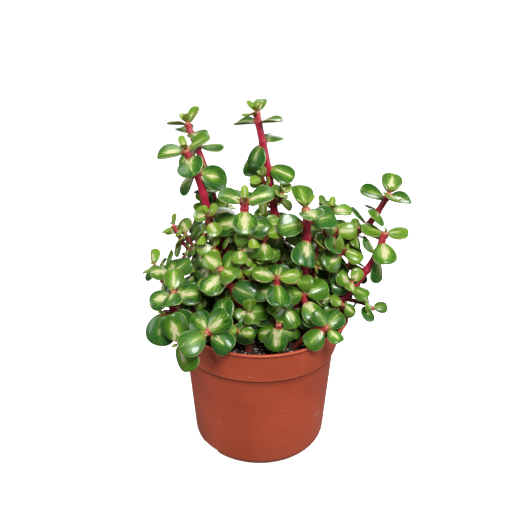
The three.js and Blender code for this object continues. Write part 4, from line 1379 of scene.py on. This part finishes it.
def scatter_grit(build, count, sizes, tones, seed, spread, turns, stems):
    """Grains on the mix, away from the wall and the stems."""
    random = draws(seed)
    for _ in range(count):
        out = math.sqrt(between(spread, random)) * (SOIL_RADIUS - GRIT_EDGE)
        angle = math.radians(between(turns, random))
        x, y = out * math.cos(angle), out * math.sin(angle)
        size = between(sizes, random)
        tone = between(tones, random)
        points = pebble(random, size)
        if any(math.hypot(x - sx, y - sy) < foot + size / 2 + GRIT_GAP for sx, sy, foot in stems):
            continue
        points = points + [x, y, soil_height(x, y) + size * GRIT_RISE]
        build.add(*hull_of(points), 1, kind=(tone, 0, 0))


# ---- the pieces
def show(piece, node):
    """Hides the solid that a piece stands for, and hangs the piece on the root body."""
    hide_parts(node)
    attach(piece, "root")


def add_shoot(build, shoot, index, own):
    """One shoot with its own leaves and its buds."""
    random = draws(SEED_LOOKS + index)
    add_stem(build, shoot, random())
    for leaf in own:
        dress(leaf, age_of(leaf), random)
        if leaf.pair[1] < TIP_PAIRS and leaf.middle[2] > BUD_TALL:
            leaf.cup = TIP_CUP
        if leaf.size > SMALL_LEAF:
            add_leaf(build, leaf, LEAF_RINGS, LEAF_SIDES)
        else:
            add_leaf(build, leaf, SMALL_RINGS, SMALL_SIDES)
    for bud in tip_buds(shoot, index) + axil_buds(shoot, index, own):
        add_leaf(build, bud, BUD_RINGS, BUD_SIDES)


shoots, wood = grow_shoots()
leaves = place_leaves(shoots, wood)
grow_young(shoots, leaves, wood)
leaf_look, stem_look = leaf_material(), stem_material()

for node, name in enumerate(STEMS):
    build = Build()
    for index, shoot in enumerate(shoots):
        if shoot.node == node:
            add_shoot(build, shoot, index, [leaf for leaf in leaves if leaf.pair[0] == index])
    show(build.piece(f"leafy_stem_{name}_fine", [leaf_look, stem_look]), f"leafy_stem_{name}")

pot_points, pot_faces = lathe(pot_profile(), POT_SIDES)
pot_build = Build()
pot_build.add(bent(pot_points), pot_faces)
pot = pot_build.piece("pot_fine", [pot_material()])
cut_drains(pot)
show(pot, "pot")

soil_build = Build()
soil_build.add(*soil_form())
rooted = [(*shoot.path.line[0][:2], shoot.foot) for shoot in shoots if shoot.leader]
for layer in GRIT:
    scatter_grit(soil_build, *layer, rooted)
show(soil_build.piece("potting_mix_fine", [soil_material(), grit_material()]), "potting_mix")


# ---- floor, light and camera
def floor_material():
    return Nodes("white_floor").finish(
        Base_Color=paint(245, 245, 245), Roughness=0.9, Emission_Color=(1, 1, 1, 1),
        Emission_Strength=FLOOR_GLOW,
    )


def studio_floor():
    """A white floor that curves up far behind the plant, on every side."""
    curve_up = arc((STAGE_FLAT, STAGE_CURVE), STAGE_CURVE, -82, 0, 12)
    profile = [(300, 0), (STAGE_FLAT, 0), *curve_up, (STAGE_FLAT + STAGE_CURVE, STAGE_TOP)]
    points = np.vstack([[0, 0, 0], *turned_rings(profile, STAGE_SIDES)])
    faces = [(0, 1 + i, 1 + (i + 1) % STAGE_SIDES) for i in range(STAGE_SIDES)]
    faces += [face[::-1] for face in tube_faces(len(profile), STAGE_SIDES, closed_ends=False)]
    build = Build()
    build.add(points - [0, 0, STAGE_GAP], faces)
    floor = build.piece("studio_floor", [floor_material()])
    floor.visible_diffuse = floor.visible_glossy = False
    return floor


def soft_light(name, place, size, power):
    light = bpy.data.lights.new(name, "AREA")
    light.shape, light.size, light.energy = "DISK", size, power
    aim = Vector(LIGHT_AIM) - Vector(place)
    placed(name, light, place, aim.to_track_quat("-Z", "Y").to_euler())


def studio_world():
    world = bpy.data.worlds.new("studio")
    world.use_nodes = True
    background = world.node_tree.nodes["Background"].inputs
    background["Color"].default_value = (1, 1, 1, 1)
    background["Strength"].default_value = WORLD_LIGHT
    return world


def studio_camera():
    camera = bpy.data.cameras.new("camera")
    camera.lens, camera.sensor_width = CAMERA_LENS, CAMERA_SENSOR
    turned = (math.radians(90 - CAMERA_PITCH), 0, math.radians(CAMERA_TURN))
    return placed("camera", camera, CAMERA_PLACE, turned)


studio_floor()
for name, (place, size, power) in LIGHTS.items():
    soft_light(name, place, size, power)
bpy.context.scene.world = studio_world()
bpy.context.scene.view_settings.view_transform = "Standard"
bpy.context.scene.camera = studio_camera()
